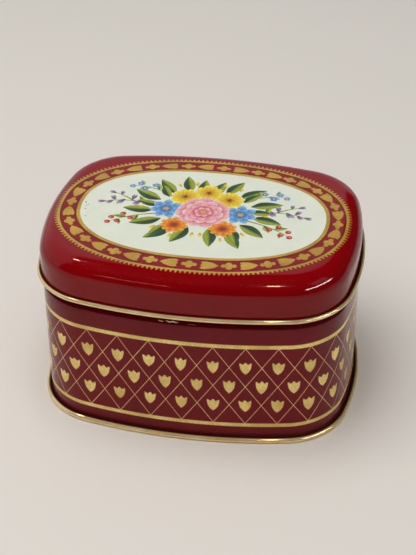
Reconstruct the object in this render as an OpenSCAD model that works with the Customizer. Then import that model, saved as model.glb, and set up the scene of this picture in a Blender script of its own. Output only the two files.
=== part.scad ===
// Lidded tin: a bow-sided sheet-metal box with a lift-off slip lid.
// Three pressed pieces: the seamed body wall, the base plate curled round its foot, and the lid.
// Millimetres, +Z up, origin on the ground under the middle of the base.
// Sections are drawn as (u, z): u is the distance outside the wall's outer face.

/* [Plan] */
// Width of the body wall, left to right
body_w = 120; // [90:1:180]
// Depth of the body wall, front to back
body_d = 91; // [70:1:150]
// Radius of the four upright corners
corner_r = 24; // [18:0.5:32]
// Angle that the front and back swing through from their middle to a corner
front_bow = 11.6; // [4:0.2:18]
// Angle that each side swings through from its middle to a corner
side_bow = 11.8; // [4:0.2:18]

/* [Sheet] */
// Thickness of the tinplate
sheet = 0.3; // [0.2:0.05:0.6]
// Inside radius of the tight bends
bend_r = 0.3; // [0.2:0.05:0.5]

/* [Body wall] */
// Height where the wall starts to round in under the lid
shoulder_z = 52; // [35:0.5:90]
// Radius of the shoulder's convex round
shoulder_r = 3; // [1.5:0.1:5]
// Radius of the small hollow where the shoulder turns up into the neck
hollow_r = 0.6; // [0.4:0.1:1.5]
// Width of the lock seam down the inside of the back
seam_w = 5; // [3:0.5:9]

/* [Base plate] */
// Outside radius of the curl that grips the wall's foot flange
foot_curl_r = 1.05; // [0.9:0.05:1.6]
// Height of the raised middle panel's upper face
floor_z = 2.4; // [1.6:0.1:5]
// Reach of the wall's flange into the curl
flange_w = 1.3; // [0.9:0.05:1.6]
// Play between the wall and the base plate inside the seam
seam_gap = 0.05; // [0.03:0.01:0.1]

/* [Lid] */
// Height of the lid's flat top
lid_top = 72.5; // [55:0.5:120]
// Outside radius of the round between top and skirt
lid_round = 7; // [4:0.5:10]
// How far the skirt's outer face stands out from the wall
lid_out = 0.4; // [0.3:0.05:1]
// Height of the middle of the curl on the skirt's lower edge
lid_curl_z = 56.9; // [40:0.1:95]
// Outside radius of that curl
lid_curl_r = 0.9; // [0.7:0.05:1.3]
// Play between the lid's skirt and the rolled edge on the neck
slide_gap = 0.3; // [0.25:0.05:0.6]
// Play left between the closed lid's round and the rolled edge that carries it
seat_gap = 0.06; // [0.02:0.01:0.2]

/* [Hidden] */
$fn = 32;

// Middle of a corner arc, from the tangency of corner, front and side arcs
side_k = tan(side_bow / 2);
front_k = tan(front_bow / 2);
span_x = body_w / 2 - corner_r;
span_y = body_d / 2 - corner_r;
corner_x = (span_x - span_y * side_k) / (1 - side_k * front_k);
corner_y = span_y - corner_x * front_k;
front_r = corner_r + corner_x / sin(front_bow);
side_r = corner_r + corner_y / sin(side_bow);

// Eight arcs round the plan: [middle x, middle y, radius, first angle, sweep, facets]
corner_turn = 90 - front_bow - side_bow;
ARCS = [
    [0, front_r - body_d / 2, front_r, 270 - front_bow, 2 * front_bow, 96],
    [corner_x, -corner_y, corner_r, 270 + front_bow, corner_turn, 48],
    [body_w / 2 - side_r, 0, side_r, -side_bow, 2 * side_bow, 96],
    [corner_x, corner_y, corner_r, side_bow, corner_turn, 48],
    [0, body_d / 2 - front_r, front_r, 90 - front_bow, 2 * front_bow, 96],
    [-corner_x, corner_y, corner_r, 90 + front_bow, corner_turn, 48],
    [side_r - body_w / 2, 0, side_r, 180 - side_bow, 2 * side_bow, 96],
    [-corner_x, -corner_y, corner_r, 180 + side_bow, corner_turn, 48],
];

// Wall and neck heights; the two shoulder rounds meet on a 3-4-5 slope
foot_z = sheet + seam_gap;
foot_bend_z = foot_z + sheet + bend_r;
shoulder_turn = atan2(4, 3);
neck_u = -(shoulder_r + hollow_r) * 2 / 5;
neck_z = shoulder_z + (shoulder_r + hollow_r) * 4 / 5;
hollow_u = neck_u + hollow_r;

// The rolled edge on the neck fills the room inside the skirt
roll_r = (lid_out - slide_gap - neck_u) / 2;
roll_u = neck_u - sheet + roll_r;

// The lid's round sits on the neck's roll, so the roll's height follows from the two rounds
round_u = lid_out - lid_round;
round_z = lid_top - lid_round;
seat_reach = lid_round - sheet - roll_r - seat_gap;
seat_rise = sqrt(pow(seat_reach, 2) - pow(roll_u - round_u, 2));
roll_z = round_z + floor(seat_rise * 1000) / 1000;
lid_curl_u = lid_out - sheet + lid_curl_r;

// Base plate heights and reaches
foot_curl_u = seam_gap + foot_curl_r;
chuck_u = -sheet - seam_gap;
chuck_bend_u = chuck_u + bend_r;
panel_u = chuck_u - sheet - bend_r;

// Flat panels: how far each swept strip reaches in, and the cross that fills the middle
strip_in = corner_r - 5;
cross_lap = 4;

// Angle that neighbouring arcs lap over each other
arc_lap = 0.00001;

// Shift in whole, thousandth and finer steps, so that neighbouring arcs meet exactly
module shifted(x, y) {
    whole = [floor(x), floor(y)];
    fine = [floor((x - whole[0]) * 1000) / 1000, floor((y - whole[1]) * 1000) / 1000];
    translate(whole)
        translate(fine)
            translate([x - whole[0] - fine[0], y - whole[1] - fine[1]])
                children();
}

// A section carried once round the plan, arc by arc, each lapping a hair over the next
module swept() {
    for (arc = ARCS)
        shifted(arc[0], arc[1])
            rotate_extrude(angle = arc[4] + 2 * arc_lap, start = arc[3] - arc_lap, $fn = arc[5])
                shifted(arc[2], 0)
                    children();
}

// Cross-shaped middle of a flat panel, lapping over the swept strips
module panel_middle(z) {
    long_x = body_w / 2 - strip_in + cross_lap;
    long_y = body_d / 2 - strip_in + cross_lap;
    short_x = corner_x + cross_lap;
    short_y = corner_y + cross_lap;
    translate([0, 0, z])
        linear_extrude(sheet) {
            square([2 * long_x, 2 * short_y], center = true);
            square([2 * short_x, 2 * long_y], center = true);
        }
}

// Wedge between two angles less than 180 apart
module wedge(reach, a0, a1) {
    intersection() {
        rotate(a0)
            translate([-reach, 0])
                square([2 * reach, reach]);
        rotate(a1)
            translate([-reach, -reach])
                square([2 * reach, reach]);
    }
}

// Section of bent sheet: a band of outside radius r between two angles
module bent(u, z, r, a0, a1) {
    shifted(u, z)
        intersection() {
            difference() {
                circle(r = r);
                circle(r = r - sheet);
            }
            wedge(2 * r, a0, a1);
        }
}

// Section of a curled edge: a ring of sheet that is open between two angles
module curled(u, z, r, a0, a1) {
    shifted(u, z)
        difference() {
            circle(r = r);
            circle(r = r - sheet);
            wedge(2 * r, a0, a1);
        }
}

// Section of flat sheet between two corners
module flat_sheet(u0, z0, u1, z1) {
    translate([u0, z0])
        square([u1 - u0, z1 - z0]);
}

// Foot flange, wall, shoulder, neck and rolled edge
module wall_section() {
    flat_sheet(bend_r, foot_z, flange_w, foot_z + sheet);
    bent(bend_r, foot_bend_z, bend_r + sheet, 180, 270);
    flat_sheet(-sheet, foot_bend_z, 0, shoulder_z);
    bent(-shoulder_r, shoulder_z, shoulder_r, 0, shoulder_turn + arc_lap);
    bent(hollow_u, neck_z, hollow_r + sheet, 180, 180 + shoulder_turn + arc_lap);
    flat_sheet(neck_u - sheet, neck_z, neck_u, roll_z);
    curled(roll_u, roll_z, roll_r, 180, 240);
}

// Curl round the flange, foot, inner wall and the edge of the raised panel
module base_section() {
    curled(foot_curl_u, foot_curl_r, foot_curl_r, 180, 270);
    flat_sheet(chuck_bend_u, 0, foot_curl_u, sheet);
    bent(chuck_bend_u, sheet + bend_r, sheet + bend_r, 180, 270);
    flat_sheet(chuck_u - sheet, sheet + bend_r, chuck_u, floor_z - sheet - bend_r);
    bent(panel_u, floor_z - sheet - bend_r, sheet + bend_r, 0, 90);
    flat_sheet(-strip_in, floor_z - sheet, panel_u, floor_z);
}

// Edge of the flat top, round, skirt and outward curl
module lid_section() {
    flat_sheet(-strip_in, lid_top - sheet, round_u, lid_top);
    bent(round_u, round_z, lid_round, 0, 90);
    flat_sheet(lid_out - sheet, lid_curl_z, lid_out, round_z);
    curled(lid_curl_u, lid_curl_z, lid_curl_r, 120, 180);
}

// Body wall: one strip of tinplate, lock-seamed down the back
module body_wall() {
    seam_turn = seam_w / front_r * 180 / PI;
    color([0.33, 0.07, 0.10]) {
        swept()
            wall_section();
        shifted(0, body_d / 2 - front_r)
            rotate_extrude(angle = seam_turn, start = 90 - seam_turn / 2, $fn = 96)
                shifted(front_r, 0)
                    flat_sheet(-2.5 * sheet, floor_z + 1, -sheet / 2, shoulder_z - 1);
    }
}

// Base plate: countersunk panel curled round the wall's foot
module base_plate() {
    color([0.72, 0.62, 0.38]) {
        swept()
            base_section();
        panel_middle(floor_z - sheet);
    }
}

// Lid: pressed cap with a rounded edge and an outward curl
module lid() {
    color([0.48, 0.03, 0.06]) {
        swept()
            lid_section();
        panel_middle(lid_top - sheet);
    }
}

body_wall();
base_plate();
lid();
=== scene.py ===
"""Looks of a lidded tin: bent-sheet shells, printed wall, printed lid, light and camera.

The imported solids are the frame. Each of them is modelled again as one bent sheet with a fine
section, and the prints lie on the sheets as thin plates of ink.
"""
import logging
import math
from dataclasses import dataclass, field
from enum import Enum
from typing import Callable, Sequence

import bpy
import numpy as np
from mathutils import Matrix, Vector


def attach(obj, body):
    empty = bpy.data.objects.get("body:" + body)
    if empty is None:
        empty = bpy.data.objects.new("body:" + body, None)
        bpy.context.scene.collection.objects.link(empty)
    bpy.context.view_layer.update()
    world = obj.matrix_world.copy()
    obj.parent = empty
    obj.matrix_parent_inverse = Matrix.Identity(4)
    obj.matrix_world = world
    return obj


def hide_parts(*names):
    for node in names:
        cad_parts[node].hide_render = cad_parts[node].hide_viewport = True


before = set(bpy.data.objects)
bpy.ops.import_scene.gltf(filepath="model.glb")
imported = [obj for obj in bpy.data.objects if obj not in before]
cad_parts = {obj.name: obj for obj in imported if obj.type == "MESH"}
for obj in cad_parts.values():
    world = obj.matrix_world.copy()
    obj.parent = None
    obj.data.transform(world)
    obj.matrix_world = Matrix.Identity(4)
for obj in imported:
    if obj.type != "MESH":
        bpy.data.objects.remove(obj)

LOG = logging.getLogger("lidded_tin")
MM = 0.001
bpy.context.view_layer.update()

# Thickness of the tinplate and of a brush stroke, in millimetres
SHEET = 0.3
HALF = SHEET / 2.0
STROKE = 0.008
# How far a sheet's section reaches in under a flat panel before the panel is filled
PANEL_STRIP = 12.0
# How close vertices lie that are merged, in millimetres
WELD = 0.002
FINE_WELD = 0.0005

Pair = tuple[float, float]
Colour = tuple[float, float, float]
Point = tuple[float, float, float]
Shape = Callable[[np.ndarray], np.ndarray]
# Rule giving the share of painted shade from distance outside the wall and height
PaintedShade = Callable[[np.ndarray, np.ndarray], np.ndarray]

# Span of a noise pattern's values that shows
NOISE_SPAN: Pair = (0.3, 0.7)
# Colours of the lamps
PLAIN: Colour = (1.0, 1.0, 1.0)
WARM: Colour = (1.0, 0.84, 0.56)


def ink(red: int, green: int, blue: int) -> Colour:
    """Turn a printed colour, 0 to 255, into the linear values that a shader takes.

    Args:
        red: Red as seen on screen.
        green: Green as seen on screen.
        blue: Blue as seen on screen.

    Returns:
        The colour in linear light.
    """
    def linear(value: int) -> float:
        """Turn one value into linear light."""
        part = value / 255.0
        return part / 12.92 if part <= 0.04045 else ((part + 0.055) / 1.055) ** 2.4
    return linear(red), linear(green), linear(blue)


class Bench:
    """Hand moves that every piece is made with."""

    @staticmethod
    def only(obj: bpy.types.Object) -> None:
        """Select one object and make it active.

        Args:
            obj: The object to select.
        """
        bpy.ops.object.select_all(action="DESELECT")
        obj.select_set(True)
        bpy.context.view_layer.objects.active = obj

    @staticmethod
    def grid(name: str, across: int, along: int) -> bpy.types.Object:
        """Add a flat grid, one unit wide and one unit long.

        Args:
            name: Name of the new object.
            across: Faces along X.
            along: Faces along Y.

        Returns:
            The grid, ready to be shaped.
        """
        bpy.ops.object.select_all(action="DESELECT")
        bpy.ops.mesh.primitive_grid_add(x_subdivisions=across, y_subdivisions=along, size=1.0)
        obj = bpy.context.object
        obj.name = name
        return obj

    @staticmethod
    def disc(name: str, sides: int, radius: float) -> bpy.types.Object:
        """Add a flat filled disc.

        Args:
            name: Name of the new object.
            sides: Corners round its rim.
            radius: Its radius, in metres.

        Returns:
            The disc.
        """
        bpy.ops.object.select_all(action="DESELECT")
        bpy.ops.mesh.primitive_circle_add(vertices=sides, radius=radius, fill_type="NGON")
        obj = bpy.context.object
        obj.name = name
        return obj

    @staticmethod
    def points(obj: bpy.types.Object) -> np.ndarray:
        """Read the vertices of a mesh as rows of x, y and z.

        Args:
            obj: The object to read.

        Returns:
            One row for each vertex.
        """
        flat = np.empty(len(obj.data.vertices) * 3)
        obj.data.vertices.foreach_get("co", flat)
        return flat.reshape(-1, 3)

    @staticmethod
    def shape(obj: bpy.types.Object, rule: Shape) -> None:
        """Move every vertex of a mesh by one rule.

        Args:
            obj: The object to shape.
            rule: Takes the vertices as rows of x, y, z and gives their new rows.
        """
        moved = np.ascontiguousarray(rule(Bench.points(obj)), dtype=np.float64)
        obj.data.vertices.foreach_set("co", moved.ravel())
        obj.data.update()

    @staticmethod
    def thicken(obj: bpy.types.Object, thick: float) -> None:
        """Give a flat shape a thickness, upwards.

        Args:
            obj: The flat shape.
            thick: Its thickness, in millimetres.
        """
        Bench.only(obj)
        solid = obj.modifiers.new("thickness", "SOLIDIFY")
        solid.thickness = thick * MM
        solid.offset = 1.0
        bpy.ops.object.modifier_apply(modifier=solid.name)

    @staticmethod
    def weld(obj: bpy.types.Object, reach: float, ends: bool = False) -> None:
        """Merge vertices that lie close together, and turn the faces outwards.

        Args:
            obj: The object to weld.
            reach: How close they lie, in millimetres.
            ends: Whether the end faces inside strips that run once round are taken out.
        """
        Bench.only(obj)
        bpy.ops.object.mode_set(mode="EDIT")
        bpy.ops.mesh.select_all(action="SELECT")
        bpy.ops.mesh.remove_doubles(threshold=reach * MM)
        if ends:
            bpy.ops.mesh.select_all(action="DESELECT")
            bpy.ops.mesh.select_interior_faces()
            bpy.ops.mesh.delete(type="FACE")
            bpy.ops.mesh.select_all(action="SELECT")
        bpy.ops.mesh.normals_make_consistent(inside=False)
        bpy.ops.object.mode_set(mode="OBJECT")

    @staticmethod
    def face_up(obj: bpy.types.Object) -> None:
        """Turn a flat mesh over if its faces point down."""
        if obj.data.polygons[0].normal.z < 0.0:
            obj.data.flip_normals()

    @staticmethod
    def copy(obj: bpy.types.Object, move: Matrix | None = None) -> bpy.types.Object:
        """Copy an object with a mesh of its own, moved in that mesh.

        Args:
            obj: The object to copy.
            move: The move, if there is one.

        Returns:
            The copy.
        """
        twin = obj.copy()
        twin.data = obj.data.copy()
        bpy.context.collection.objects.link(twin)
        if move is not None:
            twin.data.transform(move)
        return twin

    @staticmethod
    def join(name: str, pieces: Sequence[bpy.types.Object]) -> bpy.types.Object:
        """Join several meshes into one object.

        Args:
            name: Name of the joined object.
            pieces: The objects to join; the first one is kept.

        Returns:
            The joined object.
        """
        bpy.ops.object.select_all(action="DESELECT")
        for piece in pieces:
            piece.select_set(True)
        bpy.context.view_layer.objects.active = pieces[0]
        if len(pieces) > 1:
            bpy.ops.object.join()
        pieces[0].name = name
        pieces[0].data.name = name
        return pieces[0]

    @staticmethod
    def drop(obj: bpy.types.Object) -> None:
        """Remove a pattern piece that has been copied."""
        bpy.data.objects.remove(obj, do_unlink=True)

    @staticmethod
    def smooth(obj: bpy.types.Object, angle: float) -> None:
        """Shade a mesh smooth up to an angle in degrees."""
        Bench.only(obj)
        bpy.ops.object.shade_smooth_by_angle(angle=math.radians(angle))


class Shader:
    """Node tree of one material, with short calls for its nodes."""

    def __init__(self, name: str) -> None:
        """Start a material with a principled surface and Object coordinates.

        Args:
            name: Name of the material.
        """
        self.material = bpy.data.materials.new(name)
        self.material.use_nodes = True
        self.tree = self.material.node_tree
        self.surface = self.tree.nodes["Principled BSDF"]
        self.place = self.tree.nodes.new("ShaderNodeTexCoord").outputs["Object"]

    def set(self, **values: float | Colour) -> None:
        """Set constant sockets of the surface; underscores stand for spaces.

        Args:
            values: Value of each socket.
        """
        for key, value in values.items():
            socket = self.surface.inputs[key.replace("_", " ")]
            socket.default_value = (*value, 1.0) if isinstance(value, tuple) else value

    def link(self, source: bpy.types.NodeSocket, target: bpy.types.NodeSocket) -> None:
        """Link one socket to another."""
        self.tree.links.new(source, target)

    def feed(self, **sources: bpy.types.NodeSocket) -> None:
        """Let sockets drive inputs of the surface; underscores stand for spaces."""
        for key, source in sources.items():
            self.link(source, self.surface.inputs[key.replace("_", " ")])

    def noise(self, scale: float, detail: float = 3.0,
              rough: float = 0.55) -> bpy.types.NodeSocket:
        """Add a noise pattern.

        Args:
            scale: Cells per metre.
            detail: Octaves of finer noise.
            rough: Weight of the finer octaves.

        Returns:
            The pattern's value socket.
        """
        node = self.tree.nodes.new("ShaderNodeTexNoise")
        for key, number in (("Scale", scale), ("Detail", detail), ("Roughness", rough)):
            node.inputs[key].default_value = number
        self.link(self.place, node.inputs["Vector"])
        return node.outputs["Fac"]

    def ramp(self, value: bpy.types.NodeSocket,
             stops: Sequence[tuple[float, Colour]]) -> bpy.types.NodeSocket:
        """Turn a value into a colour by stops.

        Args:
            value: The value socket to read.
            stops: Places from 0 to 1, each with its colour.

        Returns:
            The colour socket.
        """
        node = self.tree.nodes.new("ShaderNodeValToRGB")
        points = node.color_ramp.elements
        while len(points) < len(stops):
            points.new(0.5)
        for point, (place, colour) in zip(points, stops):
            point.position = place
            point.color = (*colour, 1.0)
        self.link(value, node.inputs["Fac"])
        return node.outputs["Color"]

    def span(self, value: bpy.types.NodeSocket, low: float, high: float,
             least: float, most: float) -> bpy.types.NodeSocket:
        """Map a value from one span to another.

        Args:
            value: The value socket to read.
            low: Value that gives the least.
            high: Value that gives the most.
            least: Result at the low end.
            most: Result at the high end.

        Returns:
            The mapped value socket.
        """
        node = self.tree.nodes.new("ShaderNodeMapRange")
        for key, number in (("From Min", low), ("From Max", high), ("To Min", least),
                            ("To Max", most)):
            node.inputs[key].default_value = number
        self.link(value, node.inputs["Value"])
        return node.outputs["Result"]

    def product(self, one: bpy.types.NodeSocket,
                two: bpy.types.NodeSocket) -> bpy.types.NodeSocket:
        """Multiply two values.

        Args:
            one: The first value socket.
            two: The second value socket.

        Returns:
            The product's socket.
        """
        node = self.tree.nodes.new("ShaderNodeMath")
        node.operation = "MULTIPLY"
        self.link(one, node.inputs[0])
        self.link(two, node.inputs[1])
        return node.outputs["Value"]

    def blend(self, share: bpy.types.NodeSocket, under: bpy.types.NodeSocket,
              over: Colour | bpy.types.NodeSocket, mode: str = "MIX") -> bpy.types.NodeSocket:
        """Lay one colour over another by a varying share.

        Args:
            share: How much of the upper colour shows.
            under: The lower colour.
            over: The upper colour, or a socket that gives it.
            mode: How the two mix.

        Returns:
            The mixed colour socket.
        """
        node = self.tree.nodes.new("ShaderNodeMix")
        node.data_type = "RGBA"
        node.blend_type = mode
        self.link(share, node.inputs[0])
        self.link(under, node.inputs[6])
        if isinstance(over, tuple):
            node.inputs[7].default_value = (*over, 1.0)
        else:
            self.link(over, node.inputs[7])
        return node.outputs[2]

    def attribute(self, name: str, output: str) -> bpy.types.NodeSocket:
        """Read an attribute of the mesh.

        Args:
            name: Name of the attribute.
            output: Which of its values is read.

        Returns:
            The socket of that value.
        """
        node = self.tree.nodes.new("ShaderNodeAttribute")
        node.attribute_name = name
        return node.outputs[output]

    def smears(self, scale: float, detail: float, rough: float,
               gloss: Pair) -> bpy.types.NodeSocket:
        """Vary a roughness between two ends by a noise pattern."""
        return self.span(self.noise(scale, detail, rough), *NOISE_SPAN, *gloss)

    def bump(self, height: bpy.types.NodeSocket, strength: float, depth: float = 0.0001) -> None:
        """Roughen the surface by a height pattern.

        Args:
            height: The pattern's value socket.
            strength: How strongly it shows, 0 to 1.
            depth: Its depth, in metres.
        """
        node = self.tree.nodes.new("ShaderNodeBump")
        node.inputs["Strength"].default_value = strength
        node.inputs["Distance"].default_value = depth
        self.link(height, node.inputs["Height"])
        self.feed(Normal=node.outputs["Normal"])


# The finishes give the fineness of their patterns in cells per metre.
@dataclass(frozen=True)
class VarnishedInk:
    """Printed colour under clear varnish, scuffed and darkened by painted shade where the mesh
    says so.
    """

    name: str
    light: Colour
    deep: Colour
    scuff: Colour
    # Colour that the print turns to in painted shade
    painted_shade: Colour = ink(68, 0, 5)
    shine: float = 0.27
    gloss: Pair = (0.045, 0.085)
    dull: float = 11.0
    clouds: float = 45.0
    grain: float = 2600.0
    scratches: float = 1300.0
    smears: float = 140.0
    ripples: float = 500.0

    def make(self) -> bpy.types.Material:
        """Build the material.

        Returns:
            The finished material.
        """
        shader = Shader(self.name)
        tone = shader.ramp(shader.noise(self.clouds, 4.0), ((0.32, self.deep), (0.68, self.light)))
        grain = shader.span(shader.noise(self.grain, 2.0), 0.55, 0.75, 0.0, 0.22)
        tone = shader.blend(grain, tone, self.deep)
        rub = shader.span(shader.noise(self.scratches, 4.0, 0.65), 0.55, 0.68, 0.0, 0.85)
        worn = shader.product(shader.attribute("wear", "Fac"), rub)
        tone = shader.blend(worn, tone, self.scuff)
        # The mesh's attribute carries painted shade: it mixes in the shade colour and roughens the
        # varnish there
        shade_share = shader.attribute("painted_shade", "Fac")
        tone = shader.blend(shade_share, tone, self.painted_shade)
        dulled = shader.span(shade_share, 0.0, 0.6, 1.0, self.dull)
        gloss = shader.smears(self.smears, 5.0, 0.65, self.gloss)
        shader.feed(Base_Color=tone, Roughness=shader.product(gloss, dulled))
        shader.set(Specular_IOR_Level=self.shine)
        shader.bump(shader.noise(self.ripples, 2.0), 0.03)
        return shader.material


@dataclass(frozen=True)
class GoldLacquer:
    """Clear gold lacquer on bright tinplate, darkened by painted shade where the mesh says so."""

    name: str
    light: Colour
    deep: Colour
    # Colour of the painted shade behind the curls and of the painted dark line along them
    painted_shade: Colour
    gloss: Pair = (0.07, 0.13)
    metal: float = 0.45
    coat: Pair = (0.3, 0.05)
    clouds: float = 160.0
    spots: float = 1500.0
    smears: float = 300.0
    ripples: float = 700.0

    def make(self) -> bpy.types.Material:
        """Build the material.

        Returns:
            The finished material.
        """
        shader = Shader(self.name)
        tone = shader.ramp(shader.noise(self.clouds, 5.0, 0.6),
                           ((0.30, self.deep), (0.62, self.light)))
        spots = shader.span(shader.noise(self.spots, 2.0), 0.62, 0.78, 0.0, 0.30)
        tone = shader.blend(spots, tone, self.deep)
        # Painted shade and a painted dark reflection line on the curls, from the mesh's attribute
        tone = shader.blend(shader.attribute("painted_shade", "Fac"), tone, self.painted_shade)
        shader.feed(Base_Color=tone, Roughness=shader.smears(self.smears, 5.0, 0.7, self.gloss))
        shader.set(Metallic=self.metal, Coat_Weight=self.coat[0], Coat_Roughness=self.coat[1])
        shader.bump(shader.noise(self.ripples, 3.0), 0.02)
        return shader.material


@dataclass(frozen=True)
class GoldInk:
    """Satin printed gold under thin varnish, finely speckled."""

    name: str
    light: Colour
    deep: Colour
    metal: float = 0.35
    gloss: Pair = (0.36, 0.56)
    coat: Pair = (0.25, 0.14)
    clouds: float = 90.0
    grain: float = 1900.0
    smears: float = 600.0
    pores: float = 2400.0
    pore_depth: float = 0.00004

    def make(self) -> bpy.types.Material:
        """Build the material.

        Returns:
            The finished material.
        """
        shader = Shader(self.name)
        tone = shader.ramp(shader.noise(self.clouds), ((0.30, self.deep), (0.60, self.light)))
        grain = shader.span(shader.noise(self.grain, 3.0, 0.7), 0.44, 0.66, 0.0, 0.9)
        tone = shader.blend(grain, tone, self.deep)
        shader.feed(Base_Color=tone, Roughness=shader.smears(self.smears, 4.0, 0.55, self.gloss))
        shader.set(Metallic=self.metal, Coat_Weight=self.coat[0], Coat_Roughness=self.coat[1])
        shader.bump(shader.noise(self.pores, 2.0), 0.10, self.pore_depth)
        return shader.material


@dataclass(frozen=True)
class WhiteInk:
    """Smooth ground colour, faintly clouded."""

    name: str
    light: Colour
    deep: Colour
    gloss: Pair = (0.07, 0.13)
    shine: float = 0.3
    clouds: float = 120.0
    smears: float = 220.0
    ripples: float = 1100.0

    def make(self) -> bpy.types.Material:
        """Build the material.

        Returns:
            The finished material.
        """
        shader = Shader(self.name)
        tone = shader.ramp(shader.noise(self.clouds, 5.0, 0.6),
                           ((0.30, self.deep), (0.66, self.light)))
        shader.feed(Base_Color=tone, Roughness=shader.smears(self.smears, 4.0, 0.55, self.gloss))
        shader.set(Specular_IOR_Level=self.shine)
        shader.bump(shader.noise(self.ripples), 0.05)
        return shader.material


@dataclass(frozen=True)
class BrushInk:
    """Painted colours that the mesh carries, broken up as by a brush."""

    name: str
    faint: Colour = (0.72, 0.72, 0.72)
    full: Colour = (1.0, 1.0, 1.0)
    gloss: Pair = (0.08, 0.15)
    shine: float = 0.3
    strokes: float = 900.0
    patches: float = 50.0
    smears: float = 220.0

    def make(self) -> bpy.types.Material:
        """Build the material.

        Returns:
            The finished material.
        """
        shader = Shader(self.name)
        strokes = shader.ramp(shader.noise(self.strokes, 3.0, 0.6),
                              ((0.30, self.faint), (0.68, self.full)))
        even = shader.span(shader.noise(self.patches, 1.0), 0.0, 1.0, 0.75, 1.0)
        tone = shader.blend(even, shader.attribute("tint", "Color"), strokes, "MULTIPLY")
        shader.feed(Base_Color=tone, Roughness=shader.smears(self.smears, 4.0, 0.55, self.gloss))
        shader.set(Specular_IOR_Level=self.shine)
        return shader.material


@dataclass(frozen=True)
class PaleFloor:
    """Plain pale ground."""

    name: str
    tone: Colour
    rough: float = 0.9
    shine: float = 0.1

    def make(self) -> bpy.types.Material:
        """Build the material.

        Returns:
            The finished material.
        """
        shader = Shader(self.name)
        shader.set(Base_Color=self.tone, Roughness=self.rough, Specular_IOR_Level=self.shine)
        return shader.material


class Finish(Enum):
    """Finishes of the tin and its ground."""

    RED = VarnishedInk("red_ink", ink(138, 1, 8), ink(128, 1, 6), ink(158, 40, 38))
    # The wall's red is the lid's red made darker and a little bluer; the darkening is painted
    # shade for the weaker light on the upright wall
    WALL_RED = VarnishedInk("wall_red", ink(122, 1, 17), ink(110, 1, 13), ink(150, 36, 36),
                            shine=0.23)
    # Shaded copy of the wall's red for the shoulder under the lid's curl: painted shade, dark and
    # nearly without gloss
    SHOULDER_RED = VarnishedInk("shoulder_red", ink(122, 1, 17), ink(110, 1, 13),
                                ink(150, 36, 36), painted_shade=ink(84, 0, 6), shine=0.03)
    SHADOW_RED = VarnishedInk("shadow_red", ink(98, 8, 12), ink(80, 5, 9), ink(98, 8, 12))
    LACQUER = GoldLacquer("gold_lacquer", ink(255, 228, 168), ink(240, 200, 136),
                          ink(70, 40, 18))
    # Chips worn through the print show the tin in a bright matt colour; the wear is real, the
    # brightness is a painted glint
    BARE_TIN_GLINT = GoldLacquer("bare_tin_glint", ink(255, 240, 200), ink(255, 176, 100), ink(110, 50, 30),
                           metal=0.0)
    LID_GOLD = GoldInk("lid_gold", ink(212, 172, 66), ink(176, 132, 38), 0.15)
    WALL_GOLD = GoldInk("wall_gold", ink(255, 232, 148), ink(214, 180, 94), 0.55)
    LINE_GOLD = GoldInk("line_gold", ink(255, 212, 152), ink(240, 178, 112), 0.40)
    WHITE = WhiteInk("oval_white", ink(227, 229, 210), ink(220, 224, 203))
    PIT = WhiteInk("pitted_ground", ink(64, 58, 48), ink(44, 38, 32))
    BRUSH = BrushInk("brush_ink")
    FLOOR = PaleFloor("pale_floor", ink(233, 226, 216))


MADE: dict[Finish, bpy.types.Material] = {}


def dress(obj: bpy.types.Object, *finishes: Finish) -> None:
    """Give an object its finishes in order.

    Args:
        obj: The object to dress.
        finishes: The finish of each material slot.
    """
    obj.data.materials.clear()
    for finish in finishes:
        if finish not in MADE:
            MADE[finish] = finish.value.make()
        obj.data.materials.append(MADE[finish])


@dataclass(frozen=True)
class Arc:
    """One arc of the plan, in millimetres and degrees."""

    x: float
    y: float
    radius: float
    start: float
    sweep: float
    steps: int

    @property
    def length(self) -> float:
        """Length round the arc."""
        return self.radius * math.radians(self.sweep)


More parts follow.
